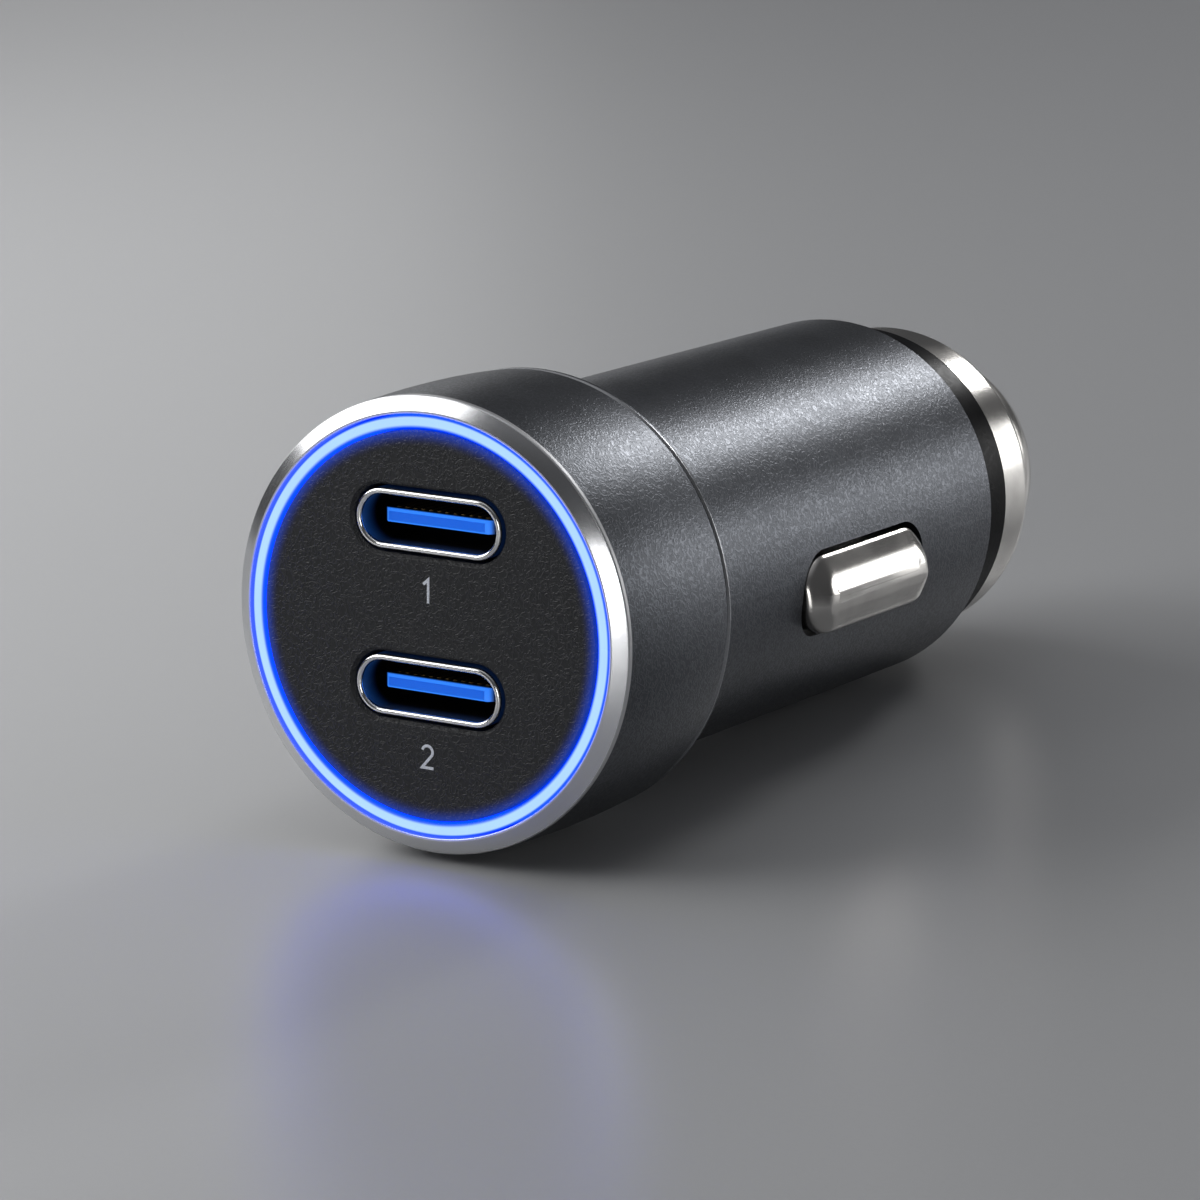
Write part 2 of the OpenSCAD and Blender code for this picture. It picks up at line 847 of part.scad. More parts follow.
// Nose ring with a round shoulder and the lip that traps the centre pin
module nose_ring() {
    color("silver")
        laid()
            turned(concat(
                [
                    [nose_bore_r, nose_spigot_y],
                    [nose_spigot_r, nose_spigot_y],
                    [nose_spigot_r, insulator_end],
                    [nose_r, insulator_end]
                ],
                arc_points(nose_r - nose_round, nose_end - nose_round, nose_round, 0, 90),
                [
                    [pin_hole_r, nose_end],
                    [pin_hole_r, nose_lip_y],
                    [nose_bore_r, nose_lip_y]
                ]
            ));
}

// Domed centre pin: a hollow cup with a flange behind the nose ring's lip
module centre_pin() {
    cup_r = pin_r - pin_wall;
    color("silver")
        laid()
            turned(concat(
                [
                    [cup_r, pin_flange_y],
                    [pin_flange_r, pin_flange_y],
                    [pin_flange_r, pin_flange_y + pin_flange_t],
                    [pin_r, pin_flange_y + pin_flange_t]
                ],
                arc_points(pin_r - pin_round, pin_end - pin_round, pin_round, 0, 90, 12),
                [
                    [0, pin_end],
                    [0, pin_cup_y],
                    [cup_r - cup_chamfer, pin_cup_y],
                    [cup_r, pin_cup_y - cup_chamfer]
                ]
            ));
}

// A point of the wire's middle line, as [x, y, z]
function coil_point(t) =
    let(
        run = spring_end - spring_y - wire_d,
        lead = 0.85 * wire_d,
        end_share = 0.9 / spring_turns,
        middle = (t - end_share) / (1 - 2 * end_share),
        y = t < end_share ? lead * t / end_share
            : t > 1 - end_share ? run - lead * (1 - t) / end_share
            : lead + (run - 2 * lead) * middle,
        a = 360 * spring_turns * t
    )
    [spring_r * cos(a), spring_y + wire_d / 2 + y, spring_r * sin(a)];

// Coil spring behind the centre pin
module pin_spring() {
    sides = 8;
    rings = round(14 * spring_turns);
    points = [
        for (i = [0:rings])
            let(
                p = coil_point(i / rings),
                a = 360 * spring_turns * i / rings,
                radial = [cos(a), 0, sin(a)]
            )
            for (j = [0:sides - 1])
                let(b = 360 * j / sides)
                p + wire_d / 2 * (cos(b) * radial + [0, sin(b), 0])
    ];
    walls = [
        for (i = [0:rings - 1])
            for (j = [0:sides - 1])
                let(k = (j + 1) % sides)
                [i * sides + j, i * sides + k, (i + 1) * sides + k, (i + 1) * sides + j]
    ];
    caps = [
        [for (j = [sides - 1:-1:0]) j],
        [for (j = [0:sides - 1]) rings * sides + j]
    ];
    color("lightsteelblue")
        laid()
            polyhedron(points = points, faces = concat(walls, caps));
}

// Brass seat of the spring, with a tab that laps onto the main board
module centre_terminal() {
    color("goldenrod")
        laid() {
            disc(terminal_r, bulkhead_back, bulkhead_back + terminal_t);
            block([-terminal_w / 2, main_back - terminal_lap, main_top],
                  [terminal_w / 2, bulkhead_back + terminal_t, main_top + terminal_t]);
        }
}

head_collar();
light_ring();
faceplate();
port_shell(upper_z);  // port_shell_upper
port_shell(lower_z);  // port_shell_lower
port_insert(upper_z);  // port_insert_upper
port_insert(lower_z);  // port_insert_lower
port_contacts(upper_z);  // port_contacts_upper
port_contacts(lower_z);  // port_contacts_lower
front_board();
ring_lamps();
main_board();
choke(choke_front_y);  // choke_front
choke(choke_rear_y);  // choke_rear
input_capacitor();
output_capacitor();
buck_controller();
port_controllers();
power_switches();
ceramic_capacitors();
sense_resistor();
fuse();
inner_carrier();
barrel_shell();
side_contact(-1);  // side_contact_left
side_contact(1);  // side_contact_right
contact_spring(-1);  // contact_spring_left
contact_spring(1);  // contact_spring_right
insulator_ring();
nose_ring();
centre_pin();
pin_spring();
centre_terminal();
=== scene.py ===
"""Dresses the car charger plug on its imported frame, and lights it.

Lengths are millimetres in the plug's own frame unless a name ends in _m: the face lies at y = 0
and looks along -Y, the nose points along +Y and Z is up. Lie carries a mesh from there to the
row's frame, in which the plug lies on its head rim and its tail rim.
"""

from __future__ import annotations

import logging
import math
from dataclasses import dataclass
from enum import Enum
from typing import Any, Optional, Sequence, Union

import bmesh
import bpy
from mathutils import Matrix, Vector


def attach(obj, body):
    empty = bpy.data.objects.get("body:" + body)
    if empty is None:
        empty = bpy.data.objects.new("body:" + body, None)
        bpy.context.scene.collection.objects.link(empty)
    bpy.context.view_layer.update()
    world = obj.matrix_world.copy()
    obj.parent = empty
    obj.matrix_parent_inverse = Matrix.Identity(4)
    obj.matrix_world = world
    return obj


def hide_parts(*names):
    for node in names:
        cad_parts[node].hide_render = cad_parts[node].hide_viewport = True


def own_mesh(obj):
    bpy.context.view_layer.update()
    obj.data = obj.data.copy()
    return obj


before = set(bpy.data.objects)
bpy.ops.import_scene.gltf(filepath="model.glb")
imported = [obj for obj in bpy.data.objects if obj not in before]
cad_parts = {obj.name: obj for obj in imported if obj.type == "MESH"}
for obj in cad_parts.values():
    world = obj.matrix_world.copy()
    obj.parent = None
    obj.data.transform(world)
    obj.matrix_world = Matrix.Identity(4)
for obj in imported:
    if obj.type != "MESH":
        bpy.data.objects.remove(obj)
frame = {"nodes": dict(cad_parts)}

LOG = logging.getLogger("charger")
MM = 0.001
FULL_TURN = 2 * math.pi

BMesh = bmesh.types.BMesh
Socket = bpy.types.NodeSocket
Colour = tuple[float, float, float]
Point = tuple[float, float, float]
Profile = list[tuple[float, float]]

BLACK: Colour = (0.0, 0.0, 0.0)


class Body(Enum):
    """The rigid bodies that a piece can ride on."""

    PLUG = "plug"
    PIN = "centre_pin"
    LEFT_CONTACT = "side_contact_left"
    RIGHT_CONTACT = "side_contact_right"


@dataclass(frozen=True)
class PlugSizes:
    """The plug's driving sizes, the same as in the part's source."""

    barrel_r: float = 10.4
    head_step: float = 1.65
    head_crown: float = 0.16
    bevel_w: float = 0.76
    bevel_depth: float = 0.46
    lip_w: float = 0.14
    flange_t: float = 0.3
    seam_gap: float = 0.1
    head_len: float = 10.6
    board_seat_y: float = 7.92
    barrel_len: float = 32.0
    barrel_wall: float = 1.0
    tail_chamfer: float = 0.3
    ring_w: float = 0.67
    ring_front: float = 0.1
    guide_end: float = 5.9
    ledge_w: float = 0.6
    ledge_t: float = 0.8
    plate_recess: float = 0.15
    plate_t: float = 1.55
    gap: float = 0.1
    press_gap: float = 0.05
    insulator_step: float = 0.9
    insulator_len: float = 3.3
    insulator_spigot: float = 2.0
    nose_step: float = 0.47
    nose_len: float = 3.9
    nose_round: float = 1.0
    nose_lip_t: float = 1.3
    nose_spigot_wall: float = 0.5
    nose_spigot_past: float = 0.9
    pin_step: float = 1.88
    pin_gap: float = 0.2
    pin_proud: float = 6.6
    pin_round: float = 4.0
    pin_wall: float = 1.55
    pin_floor: float = 2.2
    pin_flange_w: float = 0.85
    pin_flange_t: float = 1.2
    pin_travel: float = 2.5

    @property
    def head_r(self) -> float:
        """Radius of the head's rims."""
        return self.barrel_r + self.head_step

    @property
    def lip_r(self) -> float:
        """Radius at which the bevel meets the flat lip."""
        return self.head_r - self.bevel_w

    @property
    def seat_r(self) -> float:
        """Radius of the bore that holds the light ring."""
        return self.lip_r - self.lip_w

    @property
    def ring_r(self) -> float:
        """Outer radius of the light ring."""
        return self.seat_r - self.gap

    @property
    def ring_inner_r(self) -> float:
        """Inner radius of the light ring."""
        return self.ring_r - self.ring_w

    @property
    def plate_r(self) -> float:
        """Radius of the faceplate."""
        return self.ring_inner_r - self.gap

    @property
    def bore_r(self) -> float:
        """Bore of the barrel."""
        return self.barrel_r - self.barrel_wall

    @property
    def tail_y(self) -> float:
        """End of the barrel."""
        return self.head_len + self.barrel_len

    @property
    def insulator_r(self) -> float:
        """Radius of the black ring."""
        return self.barrel_r - self.insulator_step

    @property
    def insulator_end(self) -> float:
        """End of the black ring."""
        return self.tail_y + self.insulator_len

    @property
    def nose_r(self) -> float:
        """Radius of the nose ring."""
        return self.insulator_r - self.nose_step

    @property
    def nose_end(self) -> float:
        """End of the nose ring."""
        return self.insulator_end + self.nose_len

    @property
    def nose_bore_r(self) -> float:
        """Bore in which the pin's flange slides."""
        return self.pin_flange_r + self.pin_gap

    @property
    def nose_spigot_r(self) -> float:
        """Radius of the spigot that holds the nose ring in the black ring."""
        return self.nose_bore_r + self.nose_spigot_wall

    @property
    def nose_spigot_y(self) -> float:
        """Inner end of that spigot."""
        return self.pin_flange_y - self.pin_travel - self.nose_spigot_past

    @property
    def pin_r(self) -> float:
        """Radius of the centre pin."""
        return self.nose_r - self.pin_step

    @property
    def pin_end(self) -> float:
        """Tip of the centre pin."""
        return self.nose_end + self.pin_proud

    @property
    def pin_cup_r(self) -> float:
        """Bore of the centre pin."""
        return self.pin_r - self.pin_wall

    @property
    def pin_cup_y(self) -> float:
        """Floor of that bore."""
        return self.pin_end - self.pin_floor

    @property
    def pin_flange_r(self) -> float:
        """Radius of the centre pin's flange."""
        return self.pin_r + self.pin_flange_w

    @property
    def pin_flange_y(self) -> float:
        """Inner face of the centre pin's flange."""
        return self.nose_end - self.nose_lip_t - self.gap - self.pin_flange_t


SIZES = PlugSizes()


@dataclass(frozen=True)
class Lie:
    """How the plug lies: turned nose down, then set on the surface with its box over the origin."""

    tilt: float = math.atan(SIZES.head_step / (SIZES.barrel_len - SIZES.tail_chamfer))

    @property
    def height(self) -> float:
        """Height of the face's middle above the surface."""
        return SIZES.head_len * math.sin(self.tilt) + SIZES.head_r * math.cos(self.tilt)

    @property
    def middle(self) -> float:
        """Distance along the surface from the face's middle to the middle of the box.

        Returns:
            The distance.
        """
        sine, cosine = math.sin(self.tilt), math.cos(self.tilt)
        dome_y, dome_z = SIZES.pin_end - SIZES.pin_round, SIZES.pin_r - SIZES.pin_round
        back = dome_y * cosine + dome_z * sine + SIZES.pin_round
        return (back - SIZES.lip_r * sine) / 2

    def matrix(self) -> Matrix:
        """Carries millimetres of the plug's frame to metres of the row's frame."""
        place = Matrix.Translation((0, -self.middle, self.height)) @ Matrix.Rotation(-self.tilt, 4, "X")
        return Matrix.Scale(MM, 4) @ place

    def point_m(self, point: Sequence[float]) -> Vector:
        """A point of the plug's frame, in metres of the row's frame."""
        return self.matrix() @ Vector(point)

    def direction(self, direction: Sequence[float]) -> Vector:
        """A direction of the plug's frame, in the row's frame."""
        return Matrix.Rotation(-self.tilt, 3, "X") @ Vector(direction)

    def mapping(self) -> dict[str, Any]:
        """Inputs of a Mapping node that turns Object coordinates into the plug's frame.

        Returns:
            The inputs by name.
        """
        offset = Matrix.Rotation(self.tilt, 3, "X") @ Vector((0, -self.middle, self.height))
        return {
            "Location": tuple(-offset),
            "Rotation": (self.tilt, 0.0, 0.0),
            "Scale": (1 / MM, 1 / MM, 1 / MM),
        }


LIE = Lie()


def toned(colour: Colour, share: float) -> Colour:
    """A colour made darker or lighter."""
    return tuple(part * share for part in colour)


def as_mesh(name: str, bm: BMesh) -> bpy.types.Mesh:
    """A mesh of what bmesh holds.

    Args:
        name: The mesh's name.
        bm: What it holds, which is freed.

    Returns:
        The mesh.
    """
    mesh = bpy.data.meshes.new(name)
    bm.to_mesh(mesh)
    bm.free()
    return mesh


def placed(name: str, data: Any) -> bpy.types.Object:
    """A new object of the scene.

    Args:
        name: Its name.
        data: Its mesh, lamp or camera.

    Returns:
        The object.
    """
    obj = bpy.data.objects.new(name, data)
    bpy.context.scene.collection.objects.link(obj)
    return obj


class Value:
    """A number socket that does arithmetic: each operator adds the Math node that works it out."""

    def __init__(self, tree: Tree, socket: Socket) -> None:
        """Wraps an output of the tree that carries a number."""
        self.tree = tree
        self.socket = socket

    def _math(self, operation: str, *operands: Number) -> Value:
        """What a Math node works out of numbers or values, in the order of its sockets."""
        node = self.tree.node("ShaderNodeMath", dict(enumerate(operands)), operation=operation)
        return Value(self.tree, node.outputs[0])

    def __add__(self, other: Number) -> Value:
        """This plus the other."""
        return self._math("ADD", self, other)

    __radd__ = __add__

    def __sub__(self, other: Number) -> Value:
        """This minus the other."""
        return self._math("SUBTRACT", self, other)

    def __rsub__(self, other: Number) -> Value:
        """The other minus this."""
        return self._math("SUBTRACT", other, self)

    def __mul__(self, other: Number) -> Value:
        """This times the other."""
        return self._math("MULTIPLY", self, other)

    __rmul__ = __mul__

    def __truediv__(self, other: Number) -> Value:
        """This over the other."""
        return self._math("DIVIDE", self, other)

    def __mod__(self, other: Number) -> Value:
        """What is left of this after whole steps of the other."""
        return self._math("FLOORED_MODULO", self, other)

    def __abs__(self) -> Value:
        """The size of this."""
        return self._math("ABSOLUTE", self)

    def floor(self) -> Value:
        """The whole number at or below this."""
        return self._math("FLOOR", self)

    def sine(self) -> Value:
        """The sine of this, in radians."""
        return self._math("SINE", self)

    def cosine(self) -> Value:
        """The cosine of this, in radians."""
        return self._math("COSINE", self)

    def most(self, other: Number) -> Value:
        """The greater of the two."""
        return self._math("MAXIMUM", self, other)

    def root(self) -> Value:
        """The square root of this."""
        return self._math("SQRT", self)

    def ease(self, low: float, high: float) -> Value:
        """A soft step.

        Args:
            low: Where the step is 0.
            high: Where the step is 1. It may lie below low.

        Returns:
            A value from 0 to 1.
        """
        ends = {0: self, 1: low, 2: high, 3: 0.0, 4: 1.0}
        node = self.tree.node("ShaderNodeMapRange", ends, interpolation_type="SMOOTHSTEP")
        return Value(self.tree, node.outputs[0])

    def fade(self, at: float, reach: tuple[float, float]) -> Value:
        """A soft step whose two ends are given as distances from a place."""
        return self.ease(at + reach[0], at + reach[1])

    def within(self, low: float, high: float, soft: float) -> Value:
        """1 from low to high and 0 beyond, with a soft step of twice soft at each end."""
        return self.ease(low - soft, low + soft) * self.ease(high + soft, high - soft)


Number = Union[Value, float, int]


class Tree:
    """A node tree under construction."""

    def __init__(self, tree: bpy.types.NodeTree) -> None:
        """Takes the empty tree to fill."""
        self.tree = tree

    def node(self, kind: str, inputs: Optional[dict[Any, Any]] = None, **settings: Any) -> bpy.types.Node:
        """Adds a node.

        Args:
            kind: The node's type.
            inputs: A number, colour, value or link for each socket, by name or place.
            settings: The node's settings, which are set first.

        Returns:
            The node.
        """
        node = self.tree.nodes.new(kind)
        for name, setting in settings.items():
            setattr(node, name, setting)
        for key, given in (inputs or {}).items():
            socket = node.inputs[key]
            if isinstance(given, Value):
                given = given.socket
            if isinstance(given, Socket):
                self.tree.links.new(given, socket)
            elif socket.type == "RGBA" and len(given) == 3:
                socket.default_value = (*given, 1.0)
            else:
                socket.default_value = given
        return node

    def split(self, vector: Socket) -> tuple[Value, ...]:
        """The three parts of a vector."""
        node = self.node("ShaderNodeSeparateXYZ", {0: vector})
        return tuple(Value(self, output) for output in node.outputs)

    def join(self, x: Number, y: Number, z: Number) -> Socket:
        """A vector of three numbers."""
        return self.node("ShaderNodeCombineXYZ", {0: x, 1: y, 2: z}).outputs[0]

    def mix(self, share: Number, first: Any, second: Any) -> Socket:
        """A colour between two colours or colour sockets: the first at share 0, the second at 1."""
        return self.node("ShaderNodeMix", {0: share, 6: first, 7: second}, data_type="RGBA").outputs[2]


class Shader(Tree):
    """A material under construction."""

    def __init__(self, name: str) -> None:
        """Starts a material with an empty tree.

        Args:
            name: The material's name.
        """
        self.material = bpy.data.materials.new(name)
        self.material.use_nodes = True
        self.material.node_tree.nodes.clear()
        super().__init__(self.material.node_tree)

    def place(self, mapping: Optional[dict[str, Any]] = None) -> Socket:
        """Object coordinates in millimetres, in the plug's own frame unless a mapping is given."""
        found = {"Vector": self.node("ShaderNodeTexCoord").outputs["Object"], **(mapping or LIE.mapping())}
        return self.node("ShaderNodeMapping", found, vector_type="POINT").outputs[0]

    def around(self, place: Socket) -> tuple[Value, Value]:
        """Radius from the plug's axis and distance along it."""
        x, y, z = self.split(place)
        return (x * x + z * z).root(), y

    def noise(
        self, place: Socket, pitch: float, detail: float = 2.0, rough: float = 0.5, lean: float = 0.0
    ) -> Value:
        """Smooth noise.

        Args:
            place: Where it is read, in millimetres.
            pitch: Rough size of its lumps, in millimetres.
            detail: Octaves.
            rough: Strength of the finer octaves.
            lean: How much it is bent on itself.

        Returns:
            A value near 0.5.
        """
        inputs = {"Vector": place, "Scale": 1 / pitch, "Detail": detail}
        inputs.update(Roughness=rough, Distortion=lean)
        return Value(self, self.node("ShaderNodeTexNoise", inputs, noise_dimensions="3D").outputs[0])

    def wrinkles(self, place: Socket, pitch: float) -> Value:
        """Fine winding ridges such as blasting leaves: 0 between them and 1 along them."""
        return (1 - abs(self.noise(place, pitch * 1.6, 1.0, 0.4, 0.6) * 2 - 1) * 5).most(0.0)

    def bump(self, height: Value, strength: float, depth: float) -> Socket:
        """The normal of a relief: height and strength go from 0 to 1, depth is in millimetres."""
        inputs = {"Height": height, "Strength": strength, "Distance": depth * MM}
        return self.node("ShaderNodeBump", inputs).outputs[0]

    def surface(self, **inputs: Any) -> bpy.types.Material:
        """Ends the material in a Principled surface.

        Args:
            inputs: Its sockets, with _ for each space in their names.

        Returns:
            The material.
        """
        named = {key.replace("_", " "): given for key, given in inputs.items()}
        shader = self.node("ShaderNodeBsdfPrincipled", named)
        self.node("ShaderNodeOutputMaterial", {"Surface": shader.outputs[0]})
        return self.material


@dataclass(frozen=True)
class Finish:
    """A procedural material, known by its name."""

    name: str

    def make(self) -> bpy.types.Material:
        """Builds the material."""
        raise NotImplementedError(self.name)


@dataclass(frozen=True)
class Anodised(Finish):
    """Bead-blasted, anodised aluminium, with polished cuts where the tool took the coat off. It may carry
    bare metal at a rim as a painted edge highlight, and painted blue light near the light ring.
    """

    tint: Colour = (0.112, 0.119, 0.133)
    darkest: float = 0.62
    lightest: float = 1.45
    cloud_size: float = 3.0
    bare: Colour = (0.66, 0.665, 0.68)
    roughness: float = 0.35
    cut_roughness: float = 0.17
    lip_roughness: float = 0.42
    grain: float = 0.17
    relief: float = 0.0062
    cut_from: float = 0.0
    cut_to: float = 0.0
    cut_beyond: float = 0.0
    soft: float = 0.02
    turning_pitch: float = 0.045
    # Bare metal blended into a rim, from this place along the axis, as a painted edge highlight.
    rim: float = 0.0
    rim_fade: tuple[float, float] = (0.2, 0.14)
    rim_beyond: tuple[float, float] = (1.0, 1.2)
    rim_wear: float = 0.4
    lip: float = 0.0
    lip_before: float = 0.03
    # Painted blue light from the light ring, fading in from a radius and with depth.
    glow: Colour = (0.06, 0.10, 0.50)
    glow_r: float = 0.0
    glow_w: float = 0.12
    glow_depth: float = 1.2

    def make(self) -> bpy.types.Material:
        """Builds the material.

        Returns:
            The material.
        """
        shader = Shader(self.name)
        place = shader.place()
        radius, along = shader.around(place)
        ridge = shader.wrinkles(place, self.grain)
        cloud = shader.noise(place, self.cloud_size, 3.0)
        shade = ridge * 0.4 + cloud * 0.3 + 0.18
        cut = along.within(self.cut_from, self.cut_to, self.soft)
        cut = cut * radius.ease(self.cut_beyond - self.soft, self.cut_beyond + self.soft)
        turning = ((radius + along) * 2 * math.pi / self.turning_pitch).sine() * 0.5 + 0.5
        # Bare metal at the rim, a painted edge highlight.
        if self.rim:
            rim_highlight = along.fade(self.rim, self.rim_fade) * radius.fade(self.cut_beyond, self.rim_beyond)
            cut = cut.most(rim_highlight * self.rim_wear)
        coat = shader.mix(shade, toned(self.tint, self.darkest), toned(self.tint, self.lightest))
        rough = (1 - cut) * (self.roughness + 0.07 * cloud - 0.05 * ridge)
        rough = rough + cut * (self.cut_roughness + 0.05 * turning)
        if self.lip:
            lip = along.within(self.lip - self.lip_before, self.cut_to, self.soft)
            rough = rough * (1 - lip) + self.lip_roughness * lip
        more: dict[str, Any] = {}
        # Painted blue light from the light ring on the collar near its seat, fading with depth.
        if self.glow_r:
            glow = radius.ease(self.glow_r + self.glow_w, self.glow_r) * along.ease(self.glow_depth, 0.0)
            more = {"Emission_Color": shader.mix(glow, BLACK, self.glow), "Emission_Strength": 1.0}
        return shader.surface(
            Base_Color=shader.mix(cut, coat, self.bare),
            Metallic=1.0,
            Roughness=rough,
            Normal=shader.bump(ridge * (1 - cut) + turning * cut * 0.04, 0.7, self.relief),
            **more,
        )


@dataclass(frozen=True)
class Plated(Finish):
    """Polished plating, with faint clouding and hair scratches."""

    tint: Colour = (0.68, 0.66, 0.63)
    roughness: float = 0.19

    def make(self) -> bpy.types.Material:
        """Builds the material.

        Returns:
            The material.
        """
        shader = Shader(self.name)
        place = shader.place()
        cloud = shader.noise(place, 2.5, 3.0)
        hair = shader.noise(place, 0.12, 1.0, 0.5, 2.5)
        return shader.surface(
            Base_Color=shader.mix(cloud.ease(0.35, 0.7), self.tint, toned(self.tint, 0.86)),
            Metallic=1.0,
            Roughness=self.roughness + 0.06 * cloud.ease(0.4, 0.7) + 0.03 * hair,
            Normal=shader.bump(hair, 0.08, 0.002),
        )


@dataclass(frozen=True)
class Moulded(Finish):
    """Moulded plastic, with the grain of its mould and a faint mottle. It may glow as a lamp, and where a
    radius is given the glow is painted blue light fading inward from it.
    """

    tint: Colour
    roughness: float = 0.45
    grain: float = 0.18
    relief: float = 0.008
    strength: float = 0.4
    darkest: float = 0.72
    lightest: float = 1.35
    # A lamp's own glow where no radius is given; painted blue light where one is.
    glow: Colour = BLACK
    glow_r: float = 0.0
    glow_w: float = 1.0
    glow_strength: float = 1.0
    shine: float = 0.5

    def make(self) -> bpy.types.Material:
        """Builds the material.

        Returns:
            The material.
        """
        shader = Shader(self.name)
        place = shader.place()
        radius, _ = shader.around(place)
        ridge = shader.wrinkles(place, self.grain)
        cloud = shader.noise(place, 1.7, 3.0)
        mottle = cloud * 0.5 + ridge * 0.4
        more: dict[str, Any] = {"Specular_IOR_Level": self.shine}
        if max(self.glow) > 0:
            # Painted blue light from the ring, fading inward from the radius.
            if self.glow_r:
                near = radius.ease(self.glow_r - self.glow_w, self.glow_r)
                share = near * near * near
            else:
                share = 0.75 + 0.25 * cloud
            more["Emission_Color"] = shader.mix(share, BLACK, self.glow)
            more["Emission_Strength"] = self.glow_strength
        return shader.surface(
            Base_Color=shader.mix(mottle, toned(self.tint, self.darkest), toned(self.tint, self.lightest)),
            Roughness=self.roughness + 0.1 * cloud - 0.06 * ridge,
            Normal=shader.bump(ridge, self.strength, self.relief),
            **more,
        )


@dataclass(frozen=True)
class LitRing(Finish):
    """Clear light guide: pale where it is brightest and deep blue at its edges."""

    body: Colour = (0.02, 0.06, 0.2)
    core: Colour = (0.135, 0.212, 1.2)
    edge: Colour = (0.0006, 0.024, 1.0)
    strength: float = 3.3
    inner_fade: tuple[float, float] = (0.02, 0.2)
    outer_fade: tuple[float, float] = (-0.03, -0.14)
    front_fade: tuple[float, float] = (0.2, 0.06)

    def make(self) -> bpy.types.Material:
        """Builds the material.

        Returns:
            The material.
        """
        shader = Shader(self.name)
        place = shader.place()
        radius, along = shader.around(place)
        core = radius.fade(SIZES.ring_inner_r, self.inner_fade) * radius.fade(SIZES.ring_r, self.outer_fade)
        core = core * along.fade(SIZES.ring_front, self.front_fade)
        cloud = shader.noise(place, 2.2, 1.0)
        pale = shader.mix(cloud.ease(0.3, 0.7), self.core, toned(self.core, 0.96))
        return shader.surface(
            Base_Color=self.body,
            Roughness=0.25 + 0.05 * cloud,
            Emission_Color=shader.mix(core, self.edge, pale),
            Emission_Strength=self.strength,
        )


@dataclass(frozen=True)
class Drawn(Finish):
    """Drawn or rolled bare metal, with fine lines along it. Its mouth may be polished, with painted shade
    darkening its throat and painted blue light spilling inside.
    """

    tint: Colour
    roughness: float = 0.28
    # Past this depth the throat carries painted shade; the spill colour below is painted blue light.
    bright_below: float = 0.0
    spill: Colour = BLACK
    lines: float = 0.05
    stretch: float = 0.06
    darkest: float = 0.8
    bright_roughness: float = 0.14
    # How the painted shade deepens along the throat, and across which X the painted light spill grows.
    throat_len: float = 1.3
    throat_deep: float = 0.08
    throat_near: float = 0.42
    spill_from: float = -2.6
    spill_to: float = -3.9

    def make(self) -> bpy.types.Material:
        """Builds the material.

        Returns:
            The material.
        """
        shader = Shader(self.name)
        place = shader.place()
        x, y, z = shader.split(place)
        lines = shader.noise(shader.join(x, y * self.stretch, z), self.lines, 2.0)
        cloud = shader.noise(place, 1.4, 2.0)
        colour = shader.mix(cloud, toned(self.tint, self.darkest), self.tint)
        rough = self.roughness + 0.12 * lines
        more: dict[str, Any] = {}
        if self.bright_below:
            rim = y.fade(self.bright_below, (0.05, -0.05))
            rough = rough * (1 - rim) + self.bright_roughness * rim
            # Painted shade, darker the deeper it lies in the throat.
            throat = y.ease(self.bright_below + self.throat_len, self.bright_below)
            deep = shader.mix(throat, toned(self.tint, self.throat_deep), toned(self.tint, self.throat_near))
            colour = shader.mix(rim, deep, self.tint)
            # Painted blue light spill inside the mouth, stronger towards -X.
            lit = throat * (1 - rim) * (0.3 + 0.7 * x.ease(self.spill_from, self.spill_to))
            more = {"Emission_Color": shader.mix(lit, BLACK, self.spill), "Emission_Strength": 1.0}
        return shader.surface(
            Base_Color=colour, Metallic=1.0, Roughness=rough, Normal=shader.bump(lines, 0.12, 0.004), **more
        )


@dataclass(frozen=True)
class BlueTongue(Finish):
    """Blue plastic with painted blue light at its tip and a painted highlight along its front edge, painted
    in shade further into its sleeve.
    """

    tint: Colour = (0.006, 0.12, 0.60)
    # Painted shade further into the sleeve.
    dark: Colour = (0.002, 0.004, 0.012)
    # Painted blue light at the tip, and a painted highlight at its front edge.
    glow: Colour = (0.0, 0.055, 0.40)
    edge_glow: Colour = (0.03, 0.20, 0.85)
    front: float = 0.95
    edge_fade: tuple[float, float] = (0.01, 0.04)
    tip_to: float = 1.10
    fade_to: float = 1.40
    glow_strength: float = 1.0

    def make(self) -> bpy.types.Material:
        """Builds the material.

        Returns:
            The material.
        """
        shader = Shader(self.name)
        place = shader.place()
        _, along = shader.around(place)
        # Painted light at the tip, with painted shade beyond it.
        tip = along.ease(self.fade_to, self.tip_to)
        mottle = shader.noise(place, 0.4, 2.0)
        # Painted highlight along the front edge.
        edge = along.fade(self.front, self.edge_fade)
        glow = shader.mix(edge, self.glow, self.edge_glow)
        return shader.surface(
            Base_Color=shader.mix(tip, self.dark, shader.mix(mottle, self.tint, toned(self.tint, 1.12))),
            Roughness=0.3 + 0.08 * mottle,
            Emission_Color=shader.mix(tip, BLACK, glow),
            Emission_Strength=self.glow_strength,
            Normal=shader.bump(mottle, 0.15, 0.003),
        )


